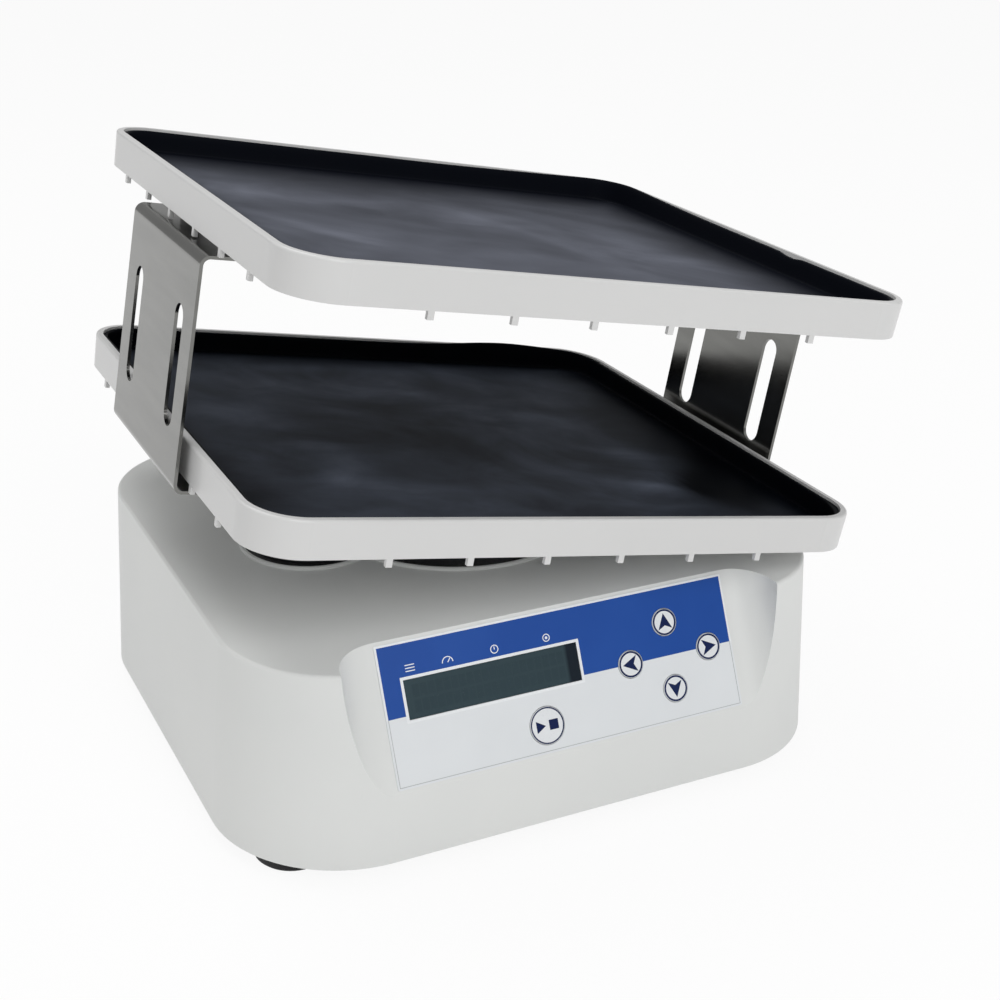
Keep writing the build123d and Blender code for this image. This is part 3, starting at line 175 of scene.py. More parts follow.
def frame_outline(x0, x1, y0, y1, corner, steps=6):
    """A rectangle with rounded corners as a closed outline, in millimetres."""
    corners = ((x1 - corner, y1 - corner, 0), (x0 + corner, y1 - corner, 90),
               (x0 + corner, y0 + corner, 180), (x1 - corner, y0 + corner, 270))
    points = []
    for cx, cy, start in corners:
        for i in range(steps + 1):
            t = math.radians(start + 90 * i / steps)
            points.append((cx + corner * math.cos(t), cy + corner * math.sin(t)))
    return points


def flat_shape(name, outlines, bottom, thickness, place, material, body):
    """A thin flat piece filled between closed outlines, laid at its level on a surface."""
    curve = bpy.data.curves.new(name, "CURVE")
    curve.dimensions = "2D"
    curve.fill_mode = "BOTH"
    curve.extrude = thickness / 2 * mm
    for outline in outlines:
        spline = curve.splines.new("POLY")
        spline.points.add(len(outline) - 1)
        for point, (x, y) in zip(spline.points, outline):
            point.co = (x * mm, y * mm, 0, 1)
        spline.use_cyclic_u = True
    drawn = bpy.data.objects.new(name, curve)
    bpy.context.scene.collection.objects.link(drawn)
    mesh = bpy.data.meshes.new_from_object(drawn.evaluated_get(bpy.context.evaluated_depsgraph_get()))
    bpy.data.objects.remove(drawn)
    level = Matrix.Translation((0, 0, (bottom + thickness / 2) * mm))
    return finished_piece(name, mesh, place @ level, material, body)


def finished_piece(name, mesh, place, material, body, smooth=False):
    """A closed mesh put in its place, with its finish, riding on a body where one is given."""
    mesh.transform(place)
    work = bmesh.new()
    work.from_mesh(mesh)
    bmesh.ops.remove_doubles(work, verts=work.verts, dist=0.000002)
    bmesh.ops.recalc_face_normals(work, faces=work.faces)
    work.to_mesh(mesh)
    work.free()
    mesh.materials.clear()
    mesh.materials.append(material)
    for face in mesh.polygons:
        face.use_smooth = smooth
        face.material_index = 0
    piece = bpy.data.objects.new(name, mesh)
    bpy.context.scene.collection.objects.link(piece)
    if body:
        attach(piece, body)
    return piece


film = surface("panel film", (0.775, 0.800, 0.820), (0.755, 0.780, 0.800),
               roughness=0.34, grain=1400, relief=0.000005, mottle=30, polish=0.03)
blue_ink = surface("blue ink", (0.010, 0.068, 0.330), (0.013, 0.076, 0.350),
                   roughness=0.32, grain=1600, relief=0.000004, mottle=24, polish=0.02, specular=0.25)
white_ink = surface("white ink", (0.86, 0.88, 0.90), (0.83, 0.85, 0.87),
                    roughness=0.34, grain=1600, relief=0.000005, polish=0.03)
grey_ink = surface("grey ink", (0.40, 0.42, 0.43), (0.44, 0.46, 0.47),
                   roughness=0.36, grain=1600, relief=0.000005, polish=0.03)
navy_ink = surface("navy ink", (0.006, 0.014, 0.070), (0.008, 0.018, 0.080),
                   roughness=0.32, grain=1600, relief=0.000005, polish=0.03, specular=0.15)
dress(film, "control_overlay")


def printed(name, outlines, colour, bottom=0, thickness=ink):
    """A shape in ink on the film."""
    flat_shape(name, outlines, bottom, thickness, panel_place, colour, "base")


notch = arrow_radius + key_gap
up_key_hole = round_outline(*arrow_keys["key_up"][:2], notch)
field_inset, rim_inset, line_inset = 1.0, 0.15, 0.9
edge = film_width / 2 - field_inset
top = film_height / 2 - field_inset
border = 1.3
left = window_x - window_width / 2
right = window_x + window_width / 2
low = window_y - window_height / 2
high = window_y + window_height / 2
window_frame = [frame_outline(left - border, right + border, low - border, high + border, 0.5)]


def half_round(x, radius, count=28):
    """The upper half of a circle on the field's lower edge, from its left end to its right end."""
    turns = [math.pi * (1 - i / count) for i in range(count + 1)]
    return [(x + radius * math.cos(t), field_edge + radius * math.sin(t)) for t in turns]


blue_edge = [(-edge, field_edge), (left - border, field_edge), (left - border, high + border),
             (right + border, high + border), (right + border, field_edge)]
blue_edge += half_round(arrow_keys["key_left"][0], notch) + half_round(arrow_keys["key_right"][0], notch)
blue_edge += [(edge, field_edge), (edge, top), (-edge, top)]
printed("blue_field", [blue_edge, up_key_hole], blue_ink)

rim = film_width / 2 - rim_inset
rim_top = film_height / 2 - rim_inset
white_edge = [(-rim, field_edge), (-edge, field_edge), (-edge, top), (edge, top), (edge, field_edge),
              (rim, field_edge), (rim, rim_top), (-rim, rim_top)]
printed("blue_field_outline", [white_edge], white_ink)
window_opening = frame_outline(left, right, low, high, 0.2)
printed("window_outline", window_frame + [window_opening], white_ink, thickness=ink * 1.4)
line = 0.28
grey_x = film_width / 2 - line_inset
grey_y = film_height / 2 - line_inset
grey_edge = [(-grey_x, field_edge), (-grey_x, -grey_y), (grey_x, -grey_y), (grey_x, field_edge),
             (grey_x - line, field_edge), (grey_x - line, line - grey_y), (line - grey_x, line - grey_y),
             (line - grey_x, field_edge)]
printed("lower_field_outline", [grey_edge], grey_ink)


# Signs above the display: three bars, a gauge, a clock and a lamp, printed in white.
# They are plain signs in the places where the panel has its four small captions.
sign_y = high + border + 3.4


def bar(x0, y0, x1, y1, width):
    """A straight stroke between two points, as a closed outline."""
    along = Vector((x1 - x0, y1 - y0)).normalized()
    side = Vector((-along.y, along.x)) * width / 2
    return [(x0 + side.x, y0 + side.y), (x0 - side.x, y0 - side.y),
            (x1 - side.x, y1 - side.y), (x1 + side.x, y1 + side.y)]


def arc_band(x, y, outer, inner, start, end, count=24):
    """Part of a ring between two angles, as a closed outline."""
    turns = [math.radians(start + (end - start) * i / count) for i in range(count + 1)]
    far = [(x + outer * math.cos(t), y + outer * math.sin(t)) for t in turns]
    near = [(x + inner * math.cos(t), y + inner * math.sin(t)) for t in reversed(turns)]
    return far + near


stroke = 0.42
list_x, gauge_x, clock_x, lamp_x = -72.6, -55.0, -32.4, -6.8
signs = {
    "sign_list": [bar(list_x - 2.2, sign_y + d, list_x + 2.2, sign_y + d, stroke) for d in (-1.3, 0, 1.3)],
    "sign_gauge": [arc_band(gauge_x, sign_y - 1.2, 2.7, 2.7 - stroke, 0, 180),
                   bar(gauge_x, sign_y - 1.2, gauge_x + 1.3, sign_y + 0.5, stroke)],
    "sign_clock": [round_outline(clock_x, sign_y, 1.95, 32), round_outline(clock_x, sign_y, 1.95 - stroke, 32),
                   bar(clock_x, sign_y - 0.15, clock_x, sign_y + 1.25, stroke)],
    "sign_lamp": [round_outline(lamp_x, sign_y, 1.8, 32), round_outline(lamp_x, sign_y, 1.8 - stroke, 32),
                  round_outline(lamp_x, sign_y, 0.65, 20)],
}
for name, outlines in signs.items():
    printed(name, outlines, white_ink, bottom=ink)


# Display window
# A smoked pane over the character display. The unlit display shows as a dark slate field with a darker end band
# and barely visible cells for two rows of twenty characters.
pane = bpy.data.materials.new("smoked pane")
pane.use_nodes = True
nodes = pane.node_tree.nodes
links = pane.node_tree.links
shader = nodes["Principled BSDF"]
shader.inputs["Specular IOR Level"].default_value = 0.2
place = nodes.new("ShaderNodeTexCoord")
parts = nodes.new("ShaderNodeSeparateXYZ")
links.new(place.outputs["Object"], parts.inputs["Vector"])
band_start, band_full = 0.0005, 0.0022
end_band = spread(nodes, links, parts.outputs["X"], band_start, band_full, 0, 1)
slate = blended_colour(nodes, links, end_band, (0.034, 0.058, 0.069), (0.008, 0.014, 0.022))
links.new(slate, shader.inputs["Base Color"])
haze = noise_texture(nodes, links, 60, 2.0)
links.new(spread(nodes, links, haze, 0.3, 0.7, 0.16, 0.26), shader.inputs["Roughness"])
dress(pane, "lcd_window")

cell_ink = surface("display cell", (0.032, 0.055, 0.066), (0.030, 0.052, 0.063),
                   roughness=0.2, grain=1600, relief=0.000005, specular=0.2)


def display_cells(name, columns, rows, field_width, field_height, cell_width, cell_height, material):
    """Flat cells in rows and columns, set out by a node tree and turned into a plain mesh."""
    tree = bpy.data.node_groups.new(name, "GeometryNodeTree")
    tree.interface.new_socket("Geometry", in_out="OUTPUT", socket_type="NodeSocketGeometry")
    sizes = {"Columns": ("NodeSocketInt", columns), "Rows": ("NodeSocketInt", rows),
             "Field Width": ("NodeSocketFloat", field_width), "Field Height": ("NodeSocketFloat", field_height),
             "Cell": ("NodeSocketVector", (cell_width, cell_height, ink * mm))}
    for label, (kind, value) in sizes.items():
        tree.interface.new_socket(label, in_out="INPUT", socket_type=kind)
    given = tree.nodes.new("NodeGroupInput")
    result = tree.nodes.new("NodeGroupOutput")
    grid = tree.nodes.new("GeometryNodeMeshGrid")
    cell = tree.nodes.new("GeometryNodeMeshCube")
    spots = tree.nodes.new("GeometryNodeInstanceOnPoints")
    real = tree.nodes.new("GeometryNodeRealizeInstances")
    finish = tree.nodes.new("GeometryNodeSetMaterial")
    finish.inputs["Material"].default_value = material
    tree.links.new(given.outputs["Columns"], grid.inputs["Vertices X"])
    tree.links.new(given.outputs["Rows"], grid.inputs["Vertices Y"])
    tree.links.new(given.outputs["Field Width"], grid.inputs["Size X"])
    tree.links.new(given.outputs["Field Height"], grid.inputs["Size Y"])
    tree.links.new(given.outputs["Cell"], cell.inputs["Size"])
    tree.links.new(grid.outputs["Mesh"], spots.inputs["Points"])
    tree.links.new(cell.outputs["Mesh"], spots.inputs["Instance"])
    tree.links.new(spots.outputs["Instances"], real.inputs["Geometry"])
    tree.links.new(real.outputs["Geometry"], finish.inputs["Geometry"])
    tree.links.new(finish.outputs["Geometry"], result.inputs["Geometry"])
    holder = bpy.data.objects.new(name, bpy.data.meshes.new(name))
    bpy.context.scene.collection.objects.link(holder)
    modifier = holder.modifiers.new(name, "NODES")
    modifier.node_group = tree
    for item in tree.interface.items_tree:
        if item.in_out == "INPUT":
            modifier[item.identifier] = sizes[item.name][1]
    mesh = bpy.data.meshes.new_from_object(holder.evaluated_get(bpy.context.evaluated_depsgraph_get()))
    bpy.data.objects.remove(holder)
    return mesh


cells = display_cells("display_cells", columns=20, rows=2, field_width=70 * mm, field_height=6.6 * mm,
                      cell_width=3.0 * mm, cell_height=5.4 * mm, material=cell_ink)
pane_top, cells_shift = -0.05, 2
cells_middle = ((window_x - cells_shift) * mm, window_y * mm, (pane_top + ink / 2) * mm)
cells_place = panel_place @ Matrix.Translation(cells_middle)
finished_piece("display_cells", cells, cells_place, cell_ink, "base")
display_black = surface("display bezel", (0.012, 0.012, 0.013), (0.017, 0.017, 0.018),
                        roughness=0.4, grain=1400, relief=0.00003)
dress(display_black, "lcd_module")


# Keys
# Five round moulded caps that pass through the film: four arrow keys and a larger start and stop key.
# Each cap has a printed navy ring and sign, which ride on it.
key_plastic = surface("key plastic", (0.80, 0.82, 0.84), (0.77, 0.79, 0.81),
                      roughness=0.32, grain=1700, relief=0.00003)
dress(key_plastic, "key_up", "key_down", "key_left", "key_right", "key_start_stop")
key_top = 0.3
ring_inset = 0.22
arrow_ring = 0.85
start_ring = 0.62


def arrow_outline(x, y, turn):
    """An arrowhead with a notched foot, pointing along its turn."""
    shape = ((4.1, 0), (-3.3, 3.7), (-1.5, 0), (-3.3, -3.7))
    c, s = math.cos(math.radians(turn)), math.sin(math.radians(turn))
    return [(x + px * c - py * s, y + px * s + py * c) for px, py in shape]


def printed_on_key(name, outlines, key):
    """A shape in navy ink on a key's cap, which rides on the key."""
    flat_shape(name, outlines, key_top, ink, panel_place, navy_ink, key)


def ring_outlines(x, y, radius, width):
    """The outer and the inner circle of a cap's printed ring."""
    outer = radius - ring_inset
    return [round_outline(x, y, outer), round_outline(x, y, outer - width)]


for name, (x, y, turn) in arrow_keys.items():
    printed_on_key(name + "_ring", ring_outlines(x, y, arrow_radius, arrow_ring), name)
    printed_on_key(name + "_arrow", [arrow_outline(x, y, turn)], name)

printed_on_key("start_key_ring", ring_outlines(start_x, start_y, start_radius, start_ring), "key_start_stop")
go_sign = [(start_x - 5.4, start_y - 2.7), (start_x - 5.4, start_y + 2.7), (start_x - 0.8, start_y)]
halt_sign = frame_outline(start_x + 0.9, start_x + 5.4, start_y - 2.25, start_y + 2.25, 0.25)
printed_on_key("start_key_signs", [go_sign, halt_sign], "key_start_stop")


# Boards behind the panel and in the base
# Green fibreglass boards with their switches and parts, and a sheet-steel case for the supply.
board_green = surface("board green", (0.012, 0.115, 0.045), (0.016, 0.150, 0.060),
                      roughness=0.35, grain=700, relief=0.00005, mottle=180)
supply_steel = surface("supply steel", (0.42, 0.43, 0.44), (0.36, 0.37, 0.38),
                       roughness=0.38, grain=1500, relief=0.00002, mottle=50, metallic=0.8)
dress(board_green, "control_board", "driver_board")
dress(supply_steel, "power_supply")


# Pivot
# A cast pedestal carries two bronze bushes. The ground steel shaft turns in them and is kept by two retaining
# rings.
cast_aluminium = surface("cast aluminium", (0.56, 0.57, 0.58), (0.46, 0.47, 0.48),
                         roughness=0.5, grain=700, relief=0.00015, mottle=45, metallic=0.85)
bush_bronze = surface("bush bronze", (0.55, 0.37, 0.17), (0.46, 0.30, 0.13),
                      roughness=0.35, grain=1500, relief=0.00002, mottle=90, metallic=1.0)
ground_steel = surface("ground steel", (0.66, 0.66, 0.65), (0.58, 0.58, 0.57),
                       roughness=0.22, grain=2500, relief=0.00001, mottle=150, metallic=1.0)
dress(cast_aluminium, "pivot_pedestal", "platform_carrier", "drive_frame", "crank_disc", "crank_pulley",
      "motor_pulley", "drive_yoke")
dress(bush_bronze, "pivot_bushes", "rod_bush")
dress(ground_steel, "rocking_shaft", "retaining_rings", "crank_shaft", "crank_pin", "crank_roller",
      "crank_bearings", "motor_shaft", "rod_pin")


# Drive
# A black-painted motor turns the crank by a toothed belt, on a cast frame on the base plate.
motor_paint = surface("motor paint", (0.022, 0.022, 0.024), (0.034, 0.034, 0.036),
                      roughness=0.42, grain=900, relief=0.00006, mottle=40)
belt_rubber = surface("belt rubber", (0.016, 0.016, 0.017), (0.024, 0.024, 0.025),
                      roughness=0.6, grain=1200, relief=0.00006, mottle=80)
dress(motor_paint, "drive_motor")
dress(belt_rubber, "timing_belt")


# Trays
# Two shallow mouldings in a neutral pale grey with a slight gloss, darker than the housing. Each has a rounded
# rim and a row of short pegs under it.
tray_plastic = surface("tray plastic", (0.69, 0.69, 0.685), (0.67, 0.67, 0.665),
                       roughness=0.34, grain=1500, relief=0.000012, mottle=8, coat=0.2, polish=0.04)
dress(tray_plastic, "lower_tray", "upper_tray")


# Mats
# A black rubber liner lies in each tray. It has a flat floor, a soft curve at its edge and low upturned walls.
# The floor shows pale clouded marks, partly wipe marks from cleaning and partly a painted reflection of the
# bright surround, which fade out before the walls.
tray_width, tray_depth, tray_corner = 300.5, 273.0, 24.0
tray_shift_y = 3.6
lip_level = 25.8
tier_rise = 102.3
rest_tilt = math.radians(10)
platform_place = Matrix.Translation((0, 0, 0.125)) @ Matrix.Rotation(rest_tilt, 4, "Y")
trays_place = platform_place @ Matrix.Translation((0, tray_shift_y * mm, 0))


def tray_ring(draw, steps=14, along=36):
    """Points round a rounded rectangle, drawn in from the lip, always as many and in the same order."""
    half_x = tray_width / 2 - draw
    half_y = tray_depth / 2 - draw
    corner = max(tray_corner - draw, 3.0)
    points = []
    places = ((half_x - corner, half_y - corner, 0), (corner - half_x, half_y - corner, 90),
              (corner - half_x, corner - half_y, 180), (half_x - corner, corner - half_y, 270))
    for index, (cx, cy, start) in enumerate(places):
        for i in range(steps + 1):
            t = math.radians(start + 90 * i / steps)
            points.append((cx + corner * math.cos(t), cy + corner * math.sin(t)))
        nx, ny, following = places[(index + 1) % 4]
        end = points[-1]
        t = math.radians(following)
        goal = (nx + corner * math.cos(t), ny + corner * math.sin(t))
        for i in range(1, along):
            share = i / along
            points.append((end[0] + (goal[0] - end[0]) * share, end[1] + (goal[1] - end[1]) * share))
    return points


def near(x, y, spot, reach):
    """1 at a spot, falling softly to 0 over its reach."""
    return math.exp(-((x - spot[0]) ** 2 + (y - spot[1]) ** 2) / (2 * reach ** 2))


def near_any(x, y, places):
    """The sum of what several places give here, each with its spot, its reach and its amount."""
    return sum(amount * near(x, y, spot, reach) for spot, reach, amount in places)


wall_section = [(60.0, -13.0), (9.0, -13.0), (4.5, -12.95), (4.2, -12.6), (4.0, -8.0), (3.75, -3.0),
                (3.68, -1.5), (3.8, -1.05), (4.1, -0.9), (5.1, -0.9), (5.5, -1.05), (5.65, -1.5),
                (5.75, -4.0), (5.9, -7.6), (6.0, -9.8), (6.15, -10.5), (6.5, -10.87), (7.2, -11.0)]
floor_start, floor_end, floor_rings = 7.2, 122.0, 22
floor_level, wall_height = -11.0, 9
marks_edge = 6.5


def mat_mesh(name, level, seed, lifts, folds, margins, haze, clouds):
    """The liner as closed rings from its underside, up its wall, over its edge and across its floor.

    A point of its section is a draw in from the tray's lip and a height against it. The edge rides up at the
    lifts and is pinched inwards at the folds. The pale marks, partly wipe marks and partly painted reflection,
    fade in over the margins, at the left, right, front and back. They are as strong as the haze, and stronger
    in the clouds.
    """
    floor_section = [(floor_start + (floor_end - floor_start) * (i / floor_rings) ** 1.15, floor_level)
                     for i in range(1, floor_rings + 1)]
    left, right, front, back = margins
    mesh = bpy.data.meshes.new(name)
    work = bmesh.new()
    # How strong the pale marks are at each point: partly wipe marks, partly painted reflection.
    wipe_and_sheen = work.verts.layers.float.new("wipe_and_sheen")
    rings = []
    for index, (draw, height) in enumerate(wall_section + floor_section):
        ring = []
        rise = min(1.0, max(0.0, (height - floor_level) / wall_height)) if 4 < index < 15 else 0.0
        for x, y in tray_ring(draw):
            sway = noise.noise(Vector((x * 0.02, y * 0.02, seed)))
            lift = rise * (0.16 * sway - 0.1 + near_any(x, y, lifts))
            bend = 0.25 * noise.noise(Vector((x * 0.035, y * 0.035, seed + 5)))
            pinch = near_any(x, y, folds) if index > 8 else 0.0
            scale = 1 - (rise * abs(bend) + rise * pinch) / 150
            vert = work.verts.new((x * scale, y * scale, height + lift))
            from_left, from_front = tray_width / 2 + x - marks_edge, tray_depth / 2 + y - marks_edge
            from_right = tray_width - 2 * marks_edge - from_left
            from_back = tray_depth - 2 * marks_edge - from_front
            share = min(1.0, from_left / left, from_right / right, from_front / front, from_back / back)
            warp = noise.noise_vector(Vector((x * 0.022, y * 0.022, seed + 9))) * 26
            marks = max(0.0, haze + near_any(x + warp.x, y + warp.y, clouds))
            vert[wipe_and_sheen] = min(1.0, max(0.0, share) * marks) if index >= 16 else 0.0
            ring.append(vert)
        rings.append(ring)
    count = len(rings[0])
    for a, b in zip(rings, rings[1:]):
        for i in range(count):
            j = (i + 1) % count
            work.faces.new((a[i], a[j], b[j], b[i]))
    work.faces.new(rings[-1])
    work.faces.new(list(reversed(rings[0])))
    bmesh.ops.recalc_face_normals(work, faces=work.faces)
    work.to_mesh(mesh)
    work.free()
    mesh.transform(trays_place @ Matrix.Translation((0, 0, level * mm)) @ Matrix.Scale(mm, 4))
    return mesh


def mat_rubber(name, shift, black, wipe_and_sheen_colour, calm):
    """Black rubber with clouded pale marks, partly wipe marks and partly painted reflection, where the piece's
    own mark value is high, evened out by a calm near 1.
    """
    material = bpy.data.materials.new(name)
    material.use_nodes = True
    nodes = material.node_tree.nodes
    links = material.node_tree.links
    shader = nodes["Principled BSDF"]
    shader.inputs["Specular IOR Level"].default_value = 0.03
    reach = nodes.new("ShaderNodeAttribute")
    reach.attribute_name = "wipe_and_sheen"
    clouds = noise_texture(nodes, links, 10, 5.0, (1.0, 1.25, 1.0), (0, 0, 0.5 + shift), 1.3)
    streaks = noise_texture(nodes, links, 21, 4.0, (1.0, 1.25, 1.0), (0, 0, -0.35 + shift), 0.9)
    mixed = nodes.new("ShaderNodeMath")
    mixed.operation = "MULTIPLY"
    links.new(spread(nodes, links, clouds, 0.34, 0.64, calm, 1.0), mixed.inputs[0])
    links.new(spread(nodes, links, streaks, 0.32, 0.68, calm + 0.15, 1.0), mixed.inputs[1])
    marks = nodes.new("ShaderNodeMath")
    marks.operation = "MULTIPLY"
    links.new(mixed.outputs["Value"], marks.inputs[0])
    links.new(reach.outputs["Fac"], marks.inputs[1])
    # The pale marks lighten the black, as wipe marks and as painted reflection.
    links.new(blended_colour(nodes, links, marks.outputs["Value"], black, wipe_and_sheen_colour), shader.inputs["Base Color"])
    links.new(spread(nodes, links, marks.outputs["Value"], 0, 1, 0.48, 0.66), shader.inputs["Roughness"])
    fine = noise_texture(nodes, links, 900, 2.0)
    bump = nodes.new("ShaderNodeBump")
    bump.inputs["Strength"].default_value = 0.3
    bump.inputs["Distance"].default_value = 0.00008
    links.new(fine, bump.inputs["Height"])
    links.new(bump.outputs["Normal"], shader.inputs["Normal"])
    return material


# Where the pale marks gather on each floor, with reach and amount: partly wipe marks, partly painted
# reflection; a negative amount clears them.
lower_clouds = [((-80, 68), 17, 0.30), ((-97, 24), 15, 0.45), ((-40, 70), 18, 0.32), ((4, 72), 18, 0.34),
                ((41, 40), 16, 0.42), ((67, 4), 14, 0.45), ((88, -24), 10, 0.75), ((74, -54), 14, 0.40),
                ((38, -74), 15, 0.25), ((-90, -27), 16, 0.28), ((-78, -66), 13, 0.28), ((-56, -86), 10, 0.15),
                ((88, 76), 16, 0.22), ((20, -48), 16, 0.20), ((-36, -20), 24, -0.04), ((118, -50), 20, -0.5),
                ((-130, -66), 18, -0.2)]
upper_clouds = [((-101, 66), 16, 0.22), ((-97, -22), 17, 0.34), ((0, 24), 20, 0.20), ((70, -4), 22, 0.22),
                ((102, -38), 16, 0.30), ((13, -24), 14, -0.18), ((-36, 24), 16, -0.10), ((-32, 96), 30, -0.16),
                ((-90, -72), 16, -0.15)]
# Both liners are one rubber. The lower liner's black is darker as painted shade, and the colour and strength of
# the pale marks differ between the two as painted light.
mat_shapes = {
    "lower_mat": {"level": lip_level, "seed": 3.0, "lifts": [((92, 132), 26, 3.0)],
                  "folds": [((141, -118), 5, 1.6), ((133, -127), 4, -1.0)],
                  "margins": (14, 50, 20, 22), "haze": 0.30, "clouds": lower_clouds},
    "upper_mat": {"level": lip_level + tier_rise, "seed": 11.0,
                  "lifts": [((140, 118), 38, 1.6), ((146, -41), 4, -1.3)], "folds": [((144, 122), 6, 1.0)],
                  "margins": (22, 60, 10, 85), "haze": 0.62, "clouds": upper_clouds},
}
mat_finishes = {
    "lower_mat": {"shift": 0.0, "black": (0.0014, 0.0020, 0.0036), "wipe_and_sheen_colour": (0.205, 0.236, 0.310),
                  "calm": 0.42},
    "upper_mat": {"shift": 0.4, "black": (0.0042, 0.0052, 0.0085), "wipe_and_sheen_colour": (0.200, 0.214, 0.262),
                  "calm": 0.62},
}
# The vector noise that warps the marks starts from the clock unless it is given a seed.
marks_seed = 1795678918
noise.seed_set(marks_seed)
for name in ("lower_mat", "upper_mat"):
    rubber = mat_rubber(name.replace("_", " ") + " rubber", **mat_finishes[name])
    liner = finished_piece(name.replace("mat", "liner"), mat_mesh(name, **mat_shapes[name]), Matrix.Identity(4),
                           rubber, "platform", smooth=True)
    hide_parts(name)


# Brackets
# Two plates of brushed stainless sheet, bent inwards top and bottom, each with two upright slots.
# Screws through the bent edges hold them to the bosses under both trays.
stainless = surface("brushed stainless", (0.205, 0.205, 0.196), (0.182, 0.182, 0.174),
                    roughness=0.17, grain=900, relief=0.000006, mottle=18, metallic=1.0,
                    stretch=(1.0, 1.0, 9.0), turn=(0, rest_tilt, 0), polish=0.03)
dress(stainless, "left_bracket", "right_bracket")


# Seals
# A rubber plate with ripples closes both round openings round the pedestal. A folded gaiter stands on it round
# the push rod and is clamped to it by its cuff.
seal_rubber = surface("seal rubber", (0.010, 0.010, 0.011), (0.017, 0.017, 0.018),
                      roughness=0.5, grain=900, relief=0.00006, mottle=50, specular=0.4)
dress(seal_rubber, "pivot_boot")

rod_x = -75.0
gaiter_foot, gaiter_end = 100.5, 130.0
flange_radius, flange_height = 28.0, 1.5
rod_radius, rod_gap = 4.0, 0.3
cuff_radius, cuff_height = 7.0, 4.0
fold_count, fold_depth, fold_skin = 4, 2.3, 1.1
fold_foot_radius, inner_foot_radius = 23.2, 20.6


def gaiter_profile():
    """Radius and height round the gaiter's cut edge: out over the flange, up the folds, and down inside."""
    outside = [(flange_radius, gaiter_foot), (flange_radius + 0.15, gaiter_foot + 0.4),
               (flange_radius - 0.2, gaiter_foot + flange_height)]
    inside = [(inner_foot_radius, gaiter_foot)]
    low_end = gaiter_foot + flange_height
    high_end = gaiter_end - cuff_height
    steps = 10 * fold_count
    for i in range(steps + 1):
        share = i / steps
        radius = fold_foot_radius + (cuff_radius + 0.6 - fold_foot_radius) * share
        swell = -math.cos(2 * math.pi * fold_count * share) * fold_depth / 2
        height = low_end + (high_end - low_end) * share
        outside.append((radius + swell, height))
        if i < steps:
            inside.append((radius + swell - fold_skin * 1.3, height - 0.35))
    outside += [(cuff_radius, high_end + 0.4), (cuff_radius, gaiter_end - 0.3),
                (cuff_radius - 0.3, gaiter_end), (rod_radius + rod_gap, gaiter_end)]
    inside.append((rod_radius + rod_gap, high_end - 1.6))
    return outside + list(reversed(inside))


work = bmesh.new()
turn_count = 72
profile = gaiter_profile()
columns = []
for i in range(turn_count):
    t = 2 * math.pi * i / turn_count
    columns.append([work.verts.new((r * math.cos(t), r * math.sin(t), z)) for r, z in profile])
for i in range(turn_count):
    a, b = columns[i], columns[(i + 1) % turn_count]
    for j in range(len(profile)):
        k = (j + 1) % len(profile)
        work.faces.new((a[j], b[j], b[k], a[k]))
gaiter_mesh = bpy.data.meshes.new("gaiter")
work.to_mesh(gaiter_mesh)
work.free()
gaiter_place = Matrix.Translation((rod_x * mm, 0, 0)) @ Matrix.Scale(mm, 4)
gaiter = finished_piece("gaiter", gaiter_mesh, gaiter_place, seal_rubber, None, smooth=True)
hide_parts("drive_boot")
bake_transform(gaiter)


# Mains inlet and switch
# A black moulded inlet with three brass contacts and a rocker switch, both pushed into the flat on the rear
# wall.
fitting_black = surface("fitting black", (0.016, 0.016, 0.017), (0.022, 0.022, 0.023),
                        roughness=0.38, grain=1300, relief=0.00005, mottle=60)
contact_brass = surface("contact brass", (0.66, 0.53, 0.27), (0.58, 0.46, 0.22),
                        roughness=0.25, grain=2000, relief=0.00001, mottle=140, metallic=1.0)
dress(fitting_black, "power_inlet", "power_switch", "power_rocker")
dress(contact_brass, "inlet_pins")

switch_x, switch_z = 55.0, 36.0
upper_face_y = 139.44
tip = math.radians(12)
mark_reach = 2.2
upper_half = Matrix((
    (-1, 0, 0, switch_x * mm),
    (0, 0, 1, upper_face_y * mm),
    (0, 1, 0, (switch_z + 5.0) * mm),
    (0, 0, 0, 1),
))
lower_half = (Matrix.Translation((switch_x * mm, upper_face_y * mm, (switch_z + 0.2) * mm))
              @ Matrix.Rotation(tip, 4, "X")
              @ Matrix(((-1, 0, 0, 0), (0, 0, 1, 0), (0, 1, 0, -4.9 * mm), (0, 0, 0, 1))))
on_mark = [bar(0, -mark_reach, 0, mark_reach, 0.8)]
off_mark = [round_outline(0, 0, mark_reach, 40), round_outline(0, 0, 1.5, 40)]
flat_shape("switch_on_mark", on_mark, 0, ink, upper_half, white_ink, "rocker")
flat_shape("switch_off_mark", off_mark, 0, ink, lower_half, white_ink, "rocker")


# Stage
# A pale floor that fades to white and an even white surround. One soft lamp hangs above in front, one above
# behind, and a weak one stands at each side.
def seen_by(nodes, links, first, *others):
    """1 for the kinds of ray that are named, and otherwise 0."""
    ray = nodes.new("ShaderNodeLightPath")
    value = ray.outputs[first]
    for kind in others:
        either = nodes.new("ShaderNodeMath")
        either.operation = "MAXIMUM"
        links.new(value, either.inputs[0])
        links.new(ray.outputs[kind], either.inputs[1])
        value = either.outputs["Value"]
    return value


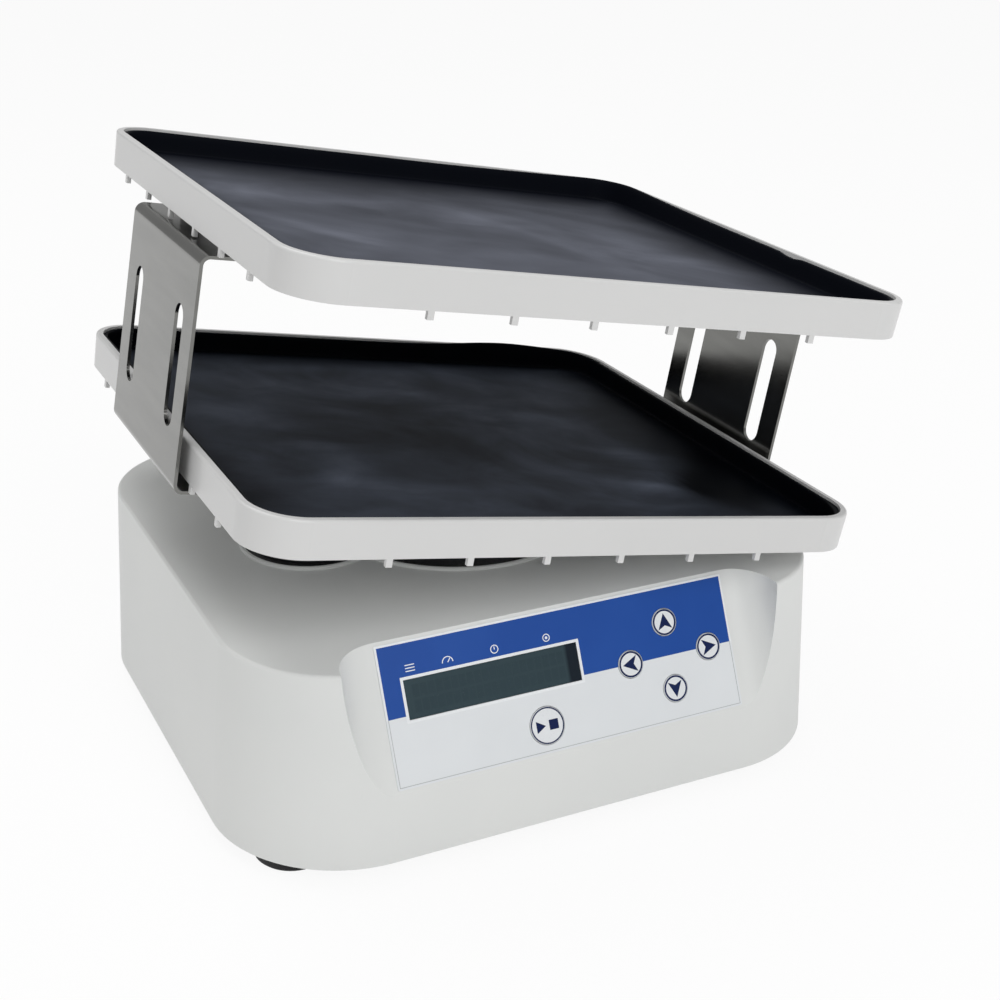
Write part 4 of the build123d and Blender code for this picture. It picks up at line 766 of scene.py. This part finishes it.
floor_size = 30.0
floor_glow = 0.92
surround_light = 0.42
floor_mesh = bpy.data.meshes.new("floor")
half = floor_size / 2
floor_corners = [(-half, -half, 0), (half, -half, 0), (half, half, 0), (-half, half, 0)]
floor_mesh.from_pydata(floor_corners, [], [(0, 1, 2, 3)])
floor = bpy.data.objects.new("floor", floor_mesh)
bpy.context.scene.collection.objects.link(floor)
floor_finish = bpy.data.materials.new("floor")
floor_finish.use_nodes = True
nodes = floor_finish.node_tree.nodes
links = floor_finish.node_tree.links
shader = nodes["Principled BSDF"]
shader.inputs["Base Color"].default_value = (0.92, 0.92, 0.92, 1)
shader.inputs["Roughness"].default_value = 0.9
shader.inputs["Specular IOR Level"].default_value = 0.1
glow = nodes.new("ShaderNodeEmission")
glow.inputs["Strength"].default_value = 1.0
seen = seen_by(nodes, links, "Is Camera Ray", "Is Glossy Ray", "Is Transmission Ray")
mixer = nodes.new("ShaderNodeMixShader")
links.new(spread(nodes, links, seen, 0, 1, 0, floor_glow), mixer.inputs["Fac"])
links.new(shader.outputs["BSDF"], mixer.inputs[1])
links.new(glow.outputs["Emission"], mixer.inputs[2])
links.new(mixer.outputs["Shader"], nodes["Material Output"].inputs["Surface"])
floor_mesh.materials.append(floor_finish)

world = bpy.data.worlds.new("surround")
bpy.context.scene.world = world
world.use_nodes = True
nodes = world.node_tree.nodes
links = world.node_tree.links
seen = seen_by(nodes, links, "Is Camera Ray", "Is Transmission Ray")
links.new(spread(nodes, links, seen, 0, 1, surround_light, 1.0), nodes["Background"].inputs["Strength"])
nodes["Background"].inputs["Color"].default_value = (1, 1, 1, 1)


def soft_lamp(name, place, aim, size, power):
    """A square soft lamp that looks at a point."""
    lamp = bpy.data.lights.new(name, "AREA")
    lamp.shape = "SQUARE"
    lamp.size = size
    lamp.energy = power
    holder = bpy.data.objects.new(name, lamp)
    holder.location = place
    holder.rotation_euler = (Vector(aim) - Vector(place)).to_track_quat("-Z", "Y").to_euler()
    bpy.context.scene.collection.objects.link(holder)


soft_lamp("main_lamp", (0.0, -1.8, 1.5), (0, 0, 0.15), 1.4, 19)
soft_lamp("left_lamp", (-1.7, -0.4, 0.9), (0, 0, 0.12), 1.2, 1.5)
soft_lamp("right_lamp", (1.7, -0.6, 1.0), (0, 0, 0.12), 1.2, 2)
soft_lamp("top_lamp", (-0.3, 0.6, 2.0), (0, 0, 0.15), 1.2, 13)


# Camera
# It stands where the photograph was taken from, with the lens that gives the photograph's frame.
camera_data = bpy.data.cameras.new("camera")
camera_data.sensor_width = 36
camera_data.lens = 58.32
camera = bpy.data.objects.new("camera", camera_data)
right_way = Vector((0.89615, -0.44326, 0.02081))
up_way = Vector((0.15957, 0.36567, 0.91696))
forward = Vector((0.41406, 0.81842, -0.39843))
camera.matrix_world = Matrix((
    (right_way.x, up_way.x, -forward.x, -0.3131),
    (right_way.y, up_way.y, -forward.y, -0.6721),
    (right_way.z, up_way.z, -forward.z, 0.4297),
    (0, 0, 0, 1),
))
bpy.context.scene.collection.objects.link(camera)
bpy.context.scene.camera = camera
bpy.context.scene.view_settings.view_transform = "Standard"
